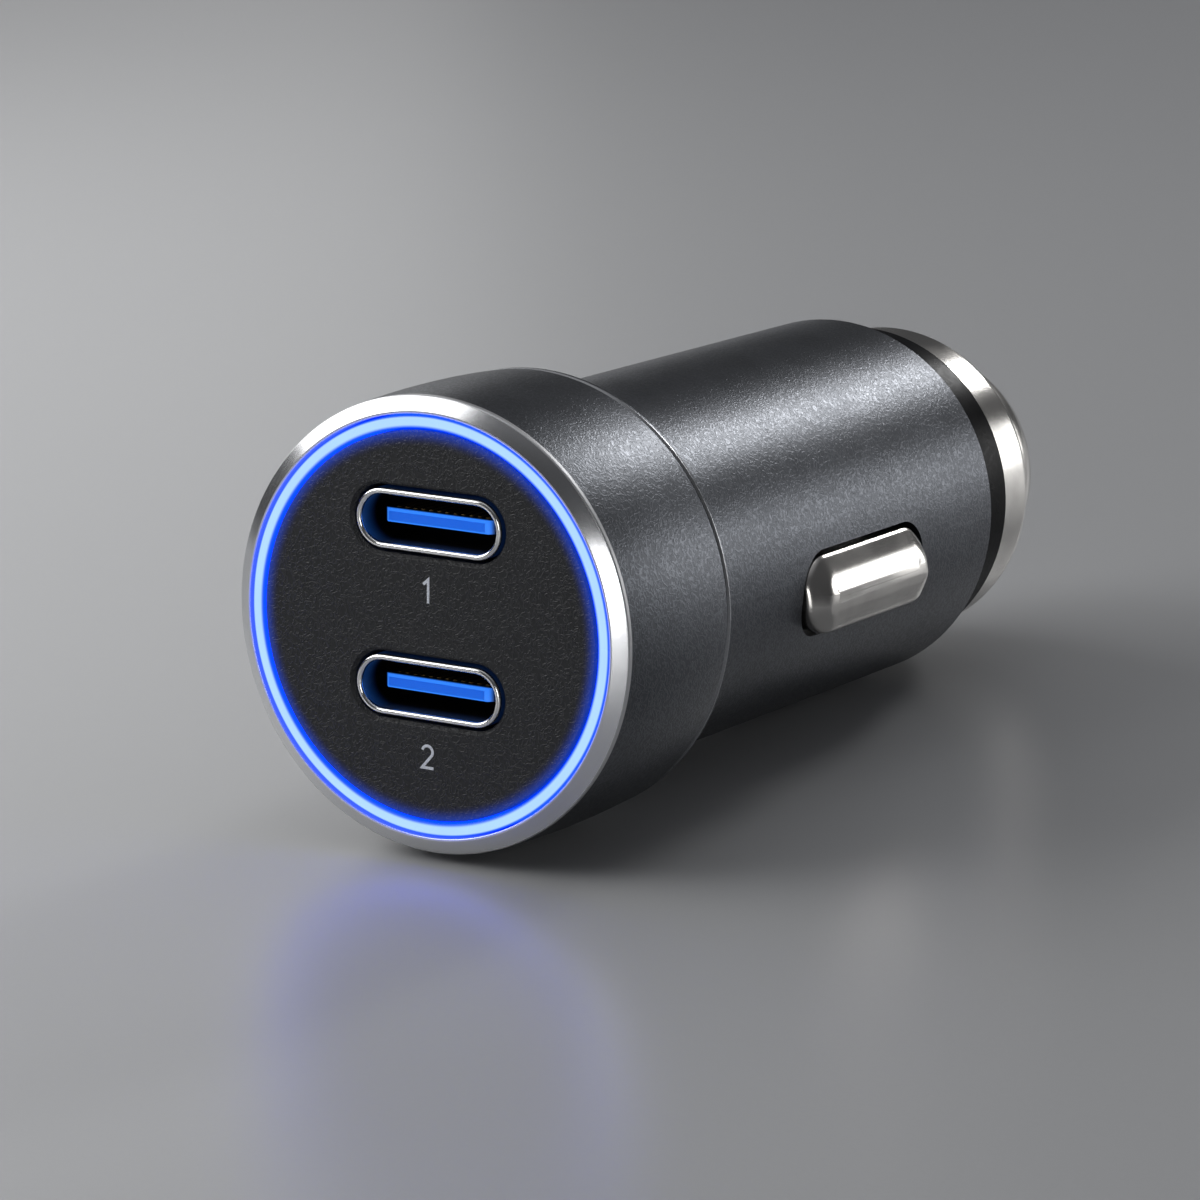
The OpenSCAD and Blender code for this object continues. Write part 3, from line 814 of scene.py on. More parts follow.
@dataclass(frozen=True)
class SolderMask(Finish):
    """Green coated board, with copper tracks that show through the coat."""

    coat: Colour = (0.008, 0.085, 0.035)
    track: Colour = (0.03, 0.19, 0.07)
    pitch: float = 0.9
    wander: float = 3.5
    lane_shift: float = 0.4
    half_w: tuple[float, float] = (0.18, 0.14)

    def make(self) -> bpy.types.Material:
        """Builds the material.

        Returns:
            The material.
        """
        shader = Shader(self.name)
        place = shader.place()
        x, _, z = shader.split(place)
        bend = shader.noise(place, self.wander, 1.0) * 3
        lane = abs(((x + z + bend.floor() * self.lane_shift) / self.pitch) % 1.0 - 0.5)
        track = lane.ease(*self.half_w) * shader.noise(place, 2.2, 0.0).ease(0.46, 0.5)
        weave = shader.noise(place, 0.25, 2.0)
        return shader.surface(
            Base_Color=shader.mix(track, shader.mix(weave, self.coat, toned(self.coat, 1.3)), self.track),
            Roughness=0.3 + 0.12 * weave,
            Normal=shader.bump(track + weave * 0.1, 0.3, 0.03),
        )


@dataclass(frozen=True)
class Printed(Finish):
    """Pad-printed ink, a little thin in places."""

    ink: Colour = (0.68, 0.71, 0.78)

    def make(self) -> bpy.types.Material:
        """Builds the material.

        Returns:
            The material.
        """
        shader = Shader(self.name)
        thin = shader.noise(shader.place(), 0.12, 2.0)
        colour = shader.mix(thin.ease(0.45, 0.75), self.ink, toned(self.ink, 0.75))
        relief = shader.bump(thin, 0.2, 0.004)
        return shader.surface(Base_Color=colour, Roughness=0.5 + 0.1 * thin, Normal=relief)


@dataclass(frozen=True)
class SatinFloor(Finish):
    """Smooth pale floor with a fine speckle, in its own coordinates."""

    tint: Colour = (0.43, 0.435, 0.445)

    def make(self) -> bpy.types.Material:
        """Builds the material.

        Returns:
            The material.
        """
        shader = Shader(self.name)
        speckle = shader.noise(shader.place({"Scale": (1 / MM, 1 / MM, 1 / MM)}), 0.35, 2.0)
        colour = shader.mix(speckle, toned(self.tint, 0.95), self.tint)
        return shader.surface(
            Base_Color=colour, Roughness=0.30 + 0.06 * speckle, Normal=shader.bump(speckle, 0.2, 0.01)
        )


class Finishes:
    """Makes each finish once and hands it out."""

    def __init__(self) -> None:
        """Lists the plug's finishes."""
        size = SIZES
        # The head's glow is painted blue light from the ring, on its lip.
        self.head = Anodised(
            "anodised_head", cut_from=-1.0, cut_to=size.bevel_depth + 0.26, cut_beyond=size.seat_r,
            lip=size.bevel_depth, glow_r=size.seat_r + 0.02,
        )
        # The barrel's rim is bare metal blended in as a painted edge highlight.
        self.barrel = Anodised(
            "anodised_barrel", cut_from=size.tail_y - size.tail_chamfer + 0.03, cut_to=size.tail_y + 1.0,
            cut_beyond=size.bore_r, rim=size.head_len - size.flange_t,
        )
        self.plated = Plated("plated_steel")
        # The face's glow is painted blue light from the ring, near its edge.
        self.face = Moulded(
            "grained_face", (0.0165, 0.0172, 0.0190), 0.46, 0.17, 0.03, 0.8,
            glow=(0.0, 0.07, 0.80), glow_r=size.plate_r, glow_w=1.15, glow_strength=0.38, shine=0.4,
        )
        self.ring = LitRing("lit_ring")
        # The shell's throat carries painted shade and painted blue light.
        self.shell = Drawn("port_shell_steel", (0.80, 0.80, 0.79), 0.26, 0.32, (0.002, 0.016, 0.07))
        # The tongue carries painted light at its tip and painted shade behind it.
        self.tongue = BlueTongue("blue_tongue")
        # Gilt darkened well below gold, as painted shade inside the ports.
        self.gilt = Drawn("gilt_contact", (0.16, 0.115, 0.05), 0.4)
        self.board = SolderMask("solder_mask")
        self.insulator = Moulded("insulator_black", (0.006, 0.006, 0.007), 0.3, 0.3, 0.003, 0.2, shine=0.05)
        self.carrier = Moulded("carrier_black", (0.02, 0.02, 0.022), 0.5, 0.35, 0.006, 0.3)
        self.chip = Moulded("chip_black", (0.016, 0.016, 0.017), 0.55, 0.08, 0.004, 0.4)
        self.ferrite = Moulded("pressed_ferrite", (0.06, 0.06, 0.062), 0.6, 0.12, 0.01, 0.6)
        self.can = Drawn("drawn_can", (0.78, 0.79, 0.80), 0.25)
        self.bronze = Drawn("spring_bronze", (0.75, 0.52, 0.27), 0.22)
        self.copper = Drawn("magnet_wire", (0.72, 0.30, 0.13), 0.3)
        self.steel = Drawn("spring_steel", (0.62, 0.62, 0.62), 0.25)
        self.ceramic = Moulded("fired_ceramic", (0.42, 0.29, 0.17), 0.4, 0.2, 0.003, 0.2)
        self.tin = Drawn("tinned_end", (0.70, 0.70, 0.68), 0.35)
        self.white = Moulded("fired_white", (0.72, 0.72, 0.70), 0.45, 0.2, 0.003, 0.2)
        self.lamp = Moulded(
            "lamp_body", (0.75, 0.75, 0.68), 0.35, 0.25, 0.003, 0.2, glow=(0.02, 0.12, 0.8), glow_strength=2.0
        )
        self.ink = Printed("printed_ink")
        self._made: dict[str, bpy.types.Material] = {}

    def get(self, finish: Finish) -> bpy.types.Material:
        """The material of a finish, made the first time it is asked for.

        Args:
            finish: The finish.

        Returns:
            The material.
        """
        if finish.name not in self._made:
            self._made[finish.name] = finish.make()
        return self._made[finish.name]


@dataclass(frozen=True)
class Corner:
    """A corner of a turned profile, with its rounding."""

    r: float
    y: float
    round: float = 0.0

    @property
    def spot(self) -> Vector:
        """Where it lies."""
        return Vector((self.r, self.y))


def rounded_profile(corners: Sequence[Corner], steps: int = 4, hold: float = 0.05) -> Profile:
    """Rounds the corners of a profile and puts a holding point on each side of a rounding.

    Args:
        corners: The corners in order.
        steps: Pieces of each rounding.
        hold: Distance of the holding points.

    Returns:
        Points of radius and place along the axis.
    """
    most_reach = 0.45
    found: Profile = []
    for i, corner in enumerate(corners):
        here = corner.spot
        if corner.round <= 0:
            found.append(tuple(here))
            continue
        to_last, to_next = corners[i - 1].spot - here, corners[(i + 1) % len(corners)].spot - here
        back, onward = to_last.normalized(), to_next.normalized()
        half = to_last.angle(to_next) / 2
        reach = min(corner.round / math.tan(half), most_reach * to_last.length, most_reach * to_next.length)
        start, end = here + back * reach, here + onward * reach
        centre = here + (back + onward).normalized() * (reach * math.tan(half) / math.sin(half))
        if to_last.length > reach + 2 * hold:
            found.append(tuple(start + back * hold))
        first, last = start - centre, end - centre
        sweep = first.angle(last)
        for k in range(steps + 1):
            share = k / steps
            spoke = first * math.sin((1 - share) * sweep) + last * math.sin(share * sweep)
            found.append(tuple(centre + spoke / math.sin(sweep)))
        if to_next.length > reach + 2 * hold:
            found.append(tuple(end + onward * hold))
    return found


def swelling(
    start: Corner, end: Corner, swell: float, out: tuple[float, float], pieces: int = 8
) -> list[Corner]:
    """Corners along a line that bows a little.

    Args:
        start: Its first corner.
        end: Its last corner.
        swell: How far its middle bows.
        out: Which way, as shares of radius and place along the axis.
        pieces: Pieces of the line.

    Returns:
        The corners, both ends among them.
    """
    found = [start]
    for k in range(1, pieces):
        share = k / pieces
        bow = 4 * swell * share * (1 - share)
        r = start.r + (end.r - start.r) * share + bow * out[0]
        found.append(Corner(r, start.y + (end.y - start.y) * share + bow * out[1]))
    return [*found, end]


def turned(points: Profile, segments: int = 240) -> BMesh:
    """Turns a profile about the plug's axis into a closed mesh.

    Args:
        points: The closed profile, or one that starts and ends on the axis.
        segments: Pieces of the circle.

    Returns:
        The mesh, with its faces outward.
    """
    bm = bmesh.new()
    rings: list[list[bmesh.types.BMVert]] = []
    for r, y in points:
        if r < 1e-6:
            rings.append([bm.verts.new((0, y, 0))])
            continue
        angles = (FULL_TURN * k / segments for k in range(segments))
        rings.append([bm.verts.new((r * math.sin(a), y, r * math.cos(a))) for a in angles])
    open_ended = len(rings[0]) == 1
    pairs = zip(rings, rings[1:]) if open_ended else zip(rings, rings[1:] + rings[:1])
    for one, other in pairs:
        for k in range(segments):
            n = (k + 1) % segments
            ring = [one[k % len(one)], other[k % len(other)], other[n % len(other)], one[n % len(one)]]
            kept = list(dict.fromkeys(ring))
            if len(kept) > 2:
                bm.faces.new(kept)
    bmesh.ops.recalc_face_normals(bm, faces=bm.faces)
    return bm


def soft_box(size: Point, edge: float) -> BMesh:
    """A small block with rounded edges, its middle at the origin.

    Args:
        size: Its three sizes.
        edge: Rounding of its edges.

    Returns:
        The mesh.
    """
    bm = bmesh.new()
    bmesh.ops.create_cube(bm, size=1.0, matrix=Matrix.Diagonal((*size, 1.0)))
    bmesh.ops.bevel(
        bm, geom=bm.edges[:], offset=edge, segments=2, profile=0.5, affect="EDGES", clamp_overlap=True
    )
    bmesh.ops.recalc_face_normals(bm, faces=bm.faces)
    return bm


def arc(centre: tuple[float, float], radius: float, start: float, end: float, steps: int = 14) -> Profile:
    """Points along an arc from one angle to another, in degrees, in so many steps."""
    angles = (math.radians(start + (end - start) * k / steps) for k in range(steps + 1))
    return [(centre[0] + radius * math.cos(a), centre[1] + radius * math.sin(a)) for a in angles]


DIGITS: dict[str, Profile] = {
    "1": [(-0.20, 0.24), (0.03, 0.44), (0.03, -0.5)],
    "2": [*arc((0.0, 0.20), 0.245, 165, -32), (-0.25, -0.445), (0.29, -0.445)],
}


def stroke_outline(line: Profile, width: float, sharpest: float = 0.35) -> Profile:
    """The outline of a pen stroke with mitred corners.

    Args:
        line: The stroke's middle line.
        width: Its width.
        sharpest: Cosine at which a mitre stops growing.

    Returns:
        The outline, as a closed polygon.
    """
    spots = [Vector(spot) for spot in line]
    left: Profile = []
    right: Profile = []
    for i, here in enumerate(spots):
        before = (here - spots[i - 1]).normalized() if i else (spots[1] - here).normalized()
        after = (spots[i + 1] - here).normalized() if i + 1 < len(spots) else before
        normal = Vector((-before.y - after.y, before.x + after.x)).normalized()
        reach = width / 2 / max(normal.dot(Vector((-before.y, before.x))), sharpest)
        left.append(tuple(here + normal * reach))
        right.append(tuple(here - normal * reach))
    return left + right[::-1]


@dataclass(frozen=True)
class Tag:
    """What a piece is called, its finish and slot in the record, the nodes it stands for and its body."""

    name: str
    finish: Finish
    slot: str
    replaces: tuple[str, ...] = ()
    body: Body = Body.PLUG


class Bench:
    """Turns meshes into pieces: puts them in place, dresses them and ties them to the frame."""

    def __init__(self, nodes: dict[str, bpy.types.Object], finishes: Finishes) -> None:
        """Takes the frame's nodes.

        Args:
            nodes: The CAD nodes by name.
            finishes: The plug's finishes.
        """
        self.nodes = nodes
        self.finishes = finishes
        self.made = 0

    def dress(self, finish: Finish, *nodes: str) -> None:
        """Gives CAD nodes their finish.

        Args:
            finish: The finish.
            nodes: The nodes' names.
        """
        for node in nodes:
            materials = self.nodes[node].data.materials
            materials.clear()
            materials.append(self.finishes.get(finish))
            LOG.info("dressed %s in %s", node, finish.name)

    def keep(self, mesh: bpy.types.Mesh, tag: Tag, crease: float) -> bpy.types.Object:
        """Makes a piece of a mesh that is in the row's frame.

        Args:
            mesh: The mesh.
            tag: What the piece is.
            crease: Angle from which an edge stays sharp, in degrees.

        Returns:
            The piece.
        """
        mesh.polygons.foreach_set("use_smooth", [True] * len(mesh.polygons))
        mesh.set_sharp_from_angle(angle=math.radians(crease))
        mesh.materials.clear()
        mesh.materials.append(self.finishes.get(tag.finish))
        obj = placed(tag.name, mesh)
        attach(obj, tag.body.value)
        for node in tag.replaces:
            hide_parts(node)
        self.made += 1
        LOG.info("made %s on %s, %d faces", obj.name, tag.body.value, len(mesh.polygons))
        return obj

    def piece(self, bm: BMesh, tag: Tag, crease: float = 35.0) -> bpy.types.Object:
        """Makes a piece of what bmesh holds in the plug's frame, and frees it."""
        bm.transform(LIE.matrix())
        return self.keep(as_mesh(tag.name, bm), tag, crease)

    @staticmethod
    def give(spring: bpy.types.Object, joint: str, axis: Vector, travel: float) -> None:
        """Gives a spring its own copy of its mesh.

        Args:
            spring: The spring, with its final mesh.
            joint: Not used.
            axis: Not used.
            travel: Not used.
        """
        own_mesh(spring)


class GrownPiece(Tree):
    """A geometry tree under construction, with named inputs, that grows one plain mesh."""

    def __init__(self, bench: Bench, tag: Tag) -> None:
        """Starts an empty tree.

        Args:
            bench: The bench that ties the piece.
            tag: What the piece is.
        """
        self.bench = bench
        self.tag = tag
        super().__init__(bpy.data.node_groups.new(tag.name, "GeometryNodeTree"))
        self.entry = self.node("NodeGroupInput")
        self.given: dict[str, float] = {}
        self.index = Value(self, self.node("GeometryNodeInputIndex").outputs[0])

    def number(self, name: str, size: float) -> Value:
        """Adds a named input.

        Args:
            name: The input's name.
            size: What the modifier gives it: a whole number where it counts things.

        Returns:
            The input as a value.
        """
        kind = "NodeSocketInt" if isinstance(size, int) else "NodeSocketFloat"
        socket = self.tree.interface.new_socket(name=name, in_out="INPUT", socket_type=kind)
        self.given[socket.identifier] = size
        return Value(self, self.entry.outputs[socket.identifier])

    def points(self, count: Number, spot: Socket) -> Socket:
        """A row of so many points, each put on its spot."""
        line = self.node("GeometryNodeMeshLine", {"Count": count}).outputs[0]
        return self.node("GeometryNodeSetPosition", {"Geometry": line, "Position": spot}).outputs[0]

    def blocks(self, size: Point, edge: float, count: Number, spot: Socket, turn: Number = 0.0) -> None:
        """Grows equal blocks with rounded edges.

        Args:
            size: A block's three sizes.
            edge: Rounding of its edges.
            count: How many there are.
            spot: Where each block's middle lies.
            turn: Each block's turn about the plug's axis.
        """
        name = self.tag.name + "_shape"
        shape = placed(name, as_mesh(name, soft_box(size, edge)))
        found = self.node("GeometryNodeObjectInfo", {"Object": shape}).outputs["Geometry"]
        laid = {"Points": self.points(count, spot), "Instance": found, "Rotation": self.join(0.0, turn, 0.0)}
        self.grow(self.node("GeometryNodeInstanceOnPoints", laid).outputs[0])
        bpy.data.objects.remove(shape)

    def grow(self, geometry: Socket, crease: float = 40.0) -> bpy.types.Object:
        """Ends the tree, evaluates it once and keeps the plain mesh.

        Args:
            geometry: What the tree has made, in the plug's frame.
            crease: Angle from which an edge stays sharp, in degrees.

        Returns:
            The piece.
        """
        name = self.tag.name
        self.tree.interface.new_socket(name="Geometry", in_out="OUTPUT", socket_type="NodeSocketGeometry")
        self.node("NodeGroupOutput", {0: self.node("GeometryNodeRealizeInstances", {0: geometry}).outputs[0]})
        seed = placed(name + "_seed", bpy.data.meshes.new(name + "_seed"))
        modifier = seed.modifiers.new(name, "NODES")
        modifier.node_group = self.tree
        for identifier, size in self.given.items():
            modifier[identifier] = size
        depsgraph = bpy.context.evaluated_depsgraph_get()
        mesh = bpy.data.meshes.new_from_object(seed.evaluated_get(depsgraph), depsgraph=depsgraph)
        seed.modifiers.clear()
        bpy.data.objects.remove(seed)
        mesh.name = name
        mesh.transform(LIE.matrix())
        return self.bench.keep(mesh, self.tag, crease)


@dataclass(frozen=True)
class SetOut:
    """Equal blocks set out in rows: the step from one to the next and from row to row."""

    tag: Tag
    shape: Point
    edge: float
    start: Point
    step: Point
    row_step: Point
    count: int
    rows: int = 2

    def make(self, bench: Bench) -> None:
        """Grows the piece.

        Args:
            bench: The bench that ties it.
        """
        tree = GrownPiece(bench, self.tag)
        count = tree.number("Count in a row", self.count)
        rows = tree.number("Rows", self.rows)
        place, row = tree.index % count, (tree.index / count).floor()
        spots = [
            tree.number(f"Start {axis}", start) + place * tree.number(f"Step {axis}", step)
            + row * tree.number(f"Row step {axis}", row_step)
            for axis, start, step, row_step in zip("XYZ", self.start, self.step, self.row_step)
        ]
        tree.blocks(self.shape, self.edge, count * rows, tree.join(*spots))


@dataclass(frozen=True)
class RingOfLamps:
    """Lamps set round the front board, each turned to the axis."""

    tag: Tag
    shape: Point
    edge: float
    radius: float
    y: float
    count: int

    def make(self, bench: Bench) -> None:
        """Grows the piece.

        Args:
            bench: The bench that ties it.
        """
        tree = GrownPiece(bench, self.tag)
        count = tree.number("Count", self.count)
        radius = tree.number("Radius", self.radius)
        along = tree.number("Place along the axis", self.y)
        turn = (tree.index + 0.5) * FULL_TURN / count
        spot = tree.join(turn.sine() * radius, along, turn.cosine() * radius)
        tree.blocks(self.shape, self.edge, count, spot, turn)


class WindingAxis(Enum):
    """The way that a wound wire rises."""

    ALONG = "along the plug"
    UP = "up from the board"


@dataclass(frozen=True)
class WoundWire:
    """Round wire wound about an axis: a spring that rises, or a flat coil that grows."""

    tag: Tag
    centre: Point
    axis: WindingAxis
    start_r: float
    end_r: float
    rise: float
    turns: float
    wire_d: float
    closed_ends: bool = False
    steps_per_turn: int = 40
    wire_sides: int = 12
    lead_share: float = 0.85
    closed_turns: float = 0.9
    blend: float = 0.2

    def make(self, bench: Bench) -> bpy.types.Object:
        """Grows the piece.

        Args:
            bench: The bench that ties it.

        Returns:
            The piece.
        """
        tree = GrownPiece(bench, self.tag)
        turns = tree.number("Turns", self.turns)
        wire = tree.number("Wire radius", self.wire_d / 2)
        start = tree.number("Start radius", self.start_r)
        end = tree.number("End radius", self.end_r)
        rise = tree.number("Rise", self.rise)
        steps = int(self.turns * self.steps_per_turn)
        share = tree.index / steps
        height = self.closed(share, rise) if self.closed_ends else share * rise
        radius = start + (end - start) * share
        turn = share * turns * FULL_TURN
        x, y, z = self.centre
        across, out = turn.cosine() * radius + x, turn.sine() * radius
        if self.axis is WindingAxis.ALONG:
            spot = tree.join(across, height + y, out + z)
        else:
            spot = tree.join(across, out + y, height + z)
        path = tree.node("GeometryNodeMeshToCurve", {0: tree.points(steps + 1, spot)}).outputs[0]
        circle = {"Resolution": self.wire_sides, "Radius": wire}
        section = tree.node("GeometryNodeCurvePrimitiveCircle", circle).outputs[0]
        tube = {"Curve": path, "Profile Curve": section, "Fill Caps": True}
        return tree.grow(tree.node("GeometryNodeCurveToMesh", tube).outputs[0], crease=60.0)

    def closed(self, share: Value, rise: Value) -> Value:
        """Height of a wire whose end turns lie close.

        Args:
            share: From 0 at the wire's start to 1 at its end.
            rise: Height of the wire's end.

        Returns:
            The height.
        """
        lead, close = self.lead_share * self.wire_d, self.closed_turns / self.turns
        inner, outer = close * (1 - self.blend), close * (1 + self.blend)
        middle = lead + (rise - 2 * lead) * (share - close) / (1 - 2 * close)
        low = share * (lead / close)
        high = rise - (1 - share) * (lead / close)
        height = low + (middle - low) * share.ease(inner, outer)
        return height + (high - height) * share.ease(1 - outer, 1 - inner)


@dataclass(frozen=True)
class Head:
    """The turned head, its light ring, its face and the numbers printed on it."""

    segments: int = 288
    broken: float = 0.03
    heel: float = 0.1
    side_pieces: int = 24
    bevel_edge: float = 0.13
    bevel_swell: float = 0.008
    guide_edge: float = 0.05
    guide_dip: float = 0.03
    guide_side: float = 0.09
    digit_h: float = 1.32
    digit_drop: float = 3.5
    digit_t: float = 0.012
    digit_line: float = 0.15

    def collar(self) -> BMesh:
        """The head with its polished bevel, a swelling side and fine broken edges.

        Returns:
            The mesh.
        """
        size = SIZES
        end = size.head_len - size.flange_t - size.seam_gap
        lip = Corner(size.lip_r, 0, self.broken)
        shoulder = Corner(size.head_r, size.bevel_depth, self.bevel_edge)
        back = Corner(size.head_r, end - self.heel, self.broken)
        corners = [
            Corner(size.seat_r, 0, self.broken),
            *swelling(lip, shoulder, self.bevel_swell, (0.7, -0.7))[:-1],
            *swelling(shoulder, back, size.head_crown, (1, 0), self.side_pieces),
            Corner(size.head_r - self.heel, end, self.broken),
            Corner(size.barrel_r + size.press_gap, end),
            Corner(size.barrel_r + size.press_gap, size.board_seat_y),
            Corner(size.seat_r, size.board_seat_y),
        ]
        return turned(rounded_profile(corners), self.segments)

    def ring(self) -> BMesh:
        """The light guide, a little domed where it shows.

        Returns:
            The mesh.
        """
        size = SIZES
        ledge_r = size.ring_inner_r - size.ledge_w
        back = size.plate_recess + size.plate_t
        inner = Corner(size.ring_inner_r + self.guide_edge, size.ring_front + self.guide_dip)
        outer = Corner(size.ring_r - self.guide_edge, size.ring_front + self.guide_dip)
        corners = [
            Corner(size.ring_inner_r, size.ring_front + self.guide_side),
            *swelling(inner, outer, self.guide_dip, (0, -1)),
            Corner(size.ring_r, size.ring_front + self.guide_side),
            Corner(size.ring_r, size.guide_end),
            Corner(size.ring_inner_r, size.guide_end),
            Corner(size.ring_inner_r, back + size.ledge_t),
            Corner(ledge_r, back + size.ledge_t),
            Corner(ledge_r, back),
            Corner(size.ring_inner_r, back),
        ]
        return turned(rounded_profile(corners), self.segments)

    def digit(self, text: str, z: float) -> BMesh:
        """A printed number on the face.

        Args:
            text: The number.
            z: Height of its middle above the axis.

        Returns:
            The mesh.
        """
        line = [(x * self.digit_h, y * self.digit_h) for x, y in DIGITS[text]]
        outline = stroke_outline(line, self.digit_line)
        levels = (SIZES.plate_recess - self.digit_t, SIZES.plate_recess)
        bm = bmesh.new()
        front, back = ([bm.verts.new((x, y, z + up)) for x, up in outline] for y in levels)
        bm.faces.new(front)
        bm.faces.new(back[::-1])
        for k in range(len(front)):
            bm.faces.new((front[k - 1], back[k - 1], back[k], front[k]))
        bmesh.ops.recalc_face_normals(bm, faces=bm.faces)
        return bm

    def build(self, bench: Bench, port_heights: Sequence[float]) -> None:
        """Makes and dresses the head.

        Args:
            bench: The bench that ties the pieces.
            port_heights: Height of each port above the axis, from the upper one down.
        """
        finishes = bench.finishes
        bench.piece(self.collar(), Tag("turned_head", finishes.head, "anodised_head", ("head_collar",)))
        bench.piece(self.ring(), Tag("lit_ring", finishes.ring, "lit_ring", ("light_ring",)))
        bench.dress(finishes.face, "faceplate")
        for number, z in enumerate(port_heights, start=1):
            digit = self.digit(str(number), z - self.digit_drop)
            bench.piece(digit, Tag(f"printed_{number}", finishes.ink, "fuse_white"))


@dataclass(frozen=True)
class Ports:
    """Both ports: shells, blue tongues and the gilt strips on them."""

    spread: float = 0.428
    lift: float = 0.0496
    tongue_t: float = 0.7
    strip_w: float = 0.25
    strip_t: float = 0.06
    strip_from: float = 1.6
    strip_to: float = 5.22
    strip_pitch: float = 0.5
    strips: int = 12

    def heights(self) -> tuple[float, float]:
        """Height of each port above the axis, from the upper one down."""
        pitch, rise = 2 * SIZES.plate_r * self.spread, 2 * SIZES.plate_r * self.lift
        return rise + pitch / 2, rise - pitch / 2

    def build(self, bench: Bench) -> None:
        """Makes and dresses the ports.

        Args:
            bench: The bench that ties the pieces.
        """
        finishes = bench.finishes
        length = self.strip_to - self.strip_from
        between = self.tongue_t + self.strip_t
        first_x = -(self.strips - 1) * self.strip_pitch / 2
        for name, z in zip(("upper", "lower"), self.heights()):
            bench.dress(finishes.shell, f"port_shell_{name}")
            bench.dress(finishes.tongue, f"port_insert_{name}")
            SetOut(
                tag=Tag(f"gilt_strips_{name}", finishes.gilt, "contact_gilt", (f"port_contacts_{name}",)),
                shape=(self.strip_w, length, self.strip_t),
                edge=0.02,
                start=(first_x, self.strip_from + length / 2, z - between / 2),
                step=(self.strip_pitch, 0.0, 0.0),
                row_step=(0.0, 0.0, between),
                count=self.strips,
            ).make(bench)


@dataclass(frozen=True)
class Boards:
    """The two boards and what stands on them.

    Widths and heights are shares of the bay's radius, lengths are shares of the board's length.
    """

    bay: float = 8.35
    level: float = 0.551
    main_front: float = 8.62
    main_len: float = 29.93
    board_w: float = 11.613
    gap_share: float = 0.022
    front_gaps: float = 1.4
    front_board_y: float = 6.97
    front_board_gap: float = 0.25
    lamps: int = 8
    led: Point = (1.6, 0.77, 0.8)
    led_inset: float = 0.1
    choke_width: float = 0.814
    choke_height: float = 0.647
    choke_length: float = 0.227
    window_share: float = 0.35
    coil_gap: float = 0.2
    coil_sunk: float = 0.17
    coil_inner_r: float = 0.7
    coil_turns: float = 6.0
    coil_wire_d: float = 0.24
    ceramic_width: float = 0.14
    ceramic_length: float = 0.037
    ceramic_step: float = 1.4
    ceramic_rows: int = 5
    rail_grip: float = 0.5
    end_share: float = 0.22
    body_share: float = 0.96

    @property
    def top(self) -> float:
        """Height of the main board's top."""
        return -self.bay * self.level

    @property
    def gap(self) -> float:
        """Gap between pieces along the board."""
        return self.gap_share * self.main_len

    @property
    def first_y(self) -> float:
        """Where the foremost pieces start."""
        return self.main_front + self.front_gaps * self.gap

    def build(self, bench: Bench) -> None:
        """Makes and dresses the boards.

        Args:
            bench: The bench that ties the pieces.
        """
        finishes = bench.finishes
        bench.dress(finishes.board, "front_board", "main_board")
        bench.dress(finishes.ferrite, "choke_front", "choke_rear")
        bench.dress(finishes.can, "input_capacitor", "output_capacitor")
        bench.dress(finishes.chip, "buck_controller", "port_controllers", "power_switches", "sense_resistor")
        bench.dress(finishes.white, "fuse")
        bench.dress(finishes.carrier, "inner_carrier")
        self.ring_of_lamps(bench)
        self.windings(bench)
        self.ceramics(bench)

    def ring_of_lamps(self, bench: Bench) -> None:
        """Makes the lamps under the light guide, on the front board.

        Args:
            bench: The bench that ties them.
        """
        _, depth, height = self.led
        RingOfLamps(
            tag=Tag("ring_of_lamps", bench.finishes.lamp, "lamp_white", ("ring_lamps",)),
            shape=self.led,
            edge=0.08,
            radius=SIZES.seat_r - self.front_board_gap - height / 2 - self.led_inset,
            y=self.front_board_y - depth / 2,
            count=self.lamps,
        ).make(bench)

    def windings(self, bench: Bench) -> None:
        """Makes the flat coil in each choke's window.

        Args:
            bench: The bench that ties them.
        """
        length = self.choke_length * self.main_len
        window_r = self.window_share * self.choke_width * self.bay
        level = self.top + self.choke_height * self.bay - self.coil_sunk
        first = self.first_y + length / 2
        for name, y in (("front", first), ("rear", first + length + self.gap)):
            WoundWire(
                tag=Tag(f"choke_winding_{name}", bench.finishes.copper, "spring_bronze"),
                centre=(0.0, y, level),
                axis=WindingAxis.UP,
                start_r=self.coil_inner_r,
                end_r=window_r - self.coil_gap,
                rise=0.0,
                turns=self.coil_turns,
                wire_d=self.coil_wire_d,
            ).make(bench)

    def ceramics(self, bench: Bench) -> None:
        """Makes the small capacitors beside the front choke: bodies, then their tinned ends.

        Args:
            bench: The bench that ties them.
        """
        finishes = bench.finishes
        width, length = self.ceramic_width * self.bay, self.ceramic_length * self.main_len
        x = (self.choke_width * self.bay + self.board_w) / 4 - self.rail_grip / 2
        end = self.end_share * length
        thick = width * self.body_share
        out = (length - end) / 2
        bodies = Tag("ceramic_bodies", finishes.ceramic, "ceramic_tan", ("ceramic_capacitors",))
        fronts = Tag("ceramic_ends_front", finishes.tin, "spring_steel")
        rears = Tag("ceramic_ends_rear", finishes.tin, "spring_steel")
        for tag, shape, edge, along in (
            (bodies, (thick, length - 2 * end, thick), 0.05, 0.0),
            (fronts, (width, end, width), 0.06, -out),
            (rears, (width, end, width), 0.06, out),
        ):
            SetOut(
                tag=tag,
                shape=shape,
                edge=edge,
                start=(-x, self.first_y + length / 2 + along, self.top + width / 2),
                step=(0.0, self.ceramic_step * length, 0.0),
                row_step=(2 * x, 0.0, 0.0),
                count=self.ceramic_rows,
            ).make(bench)


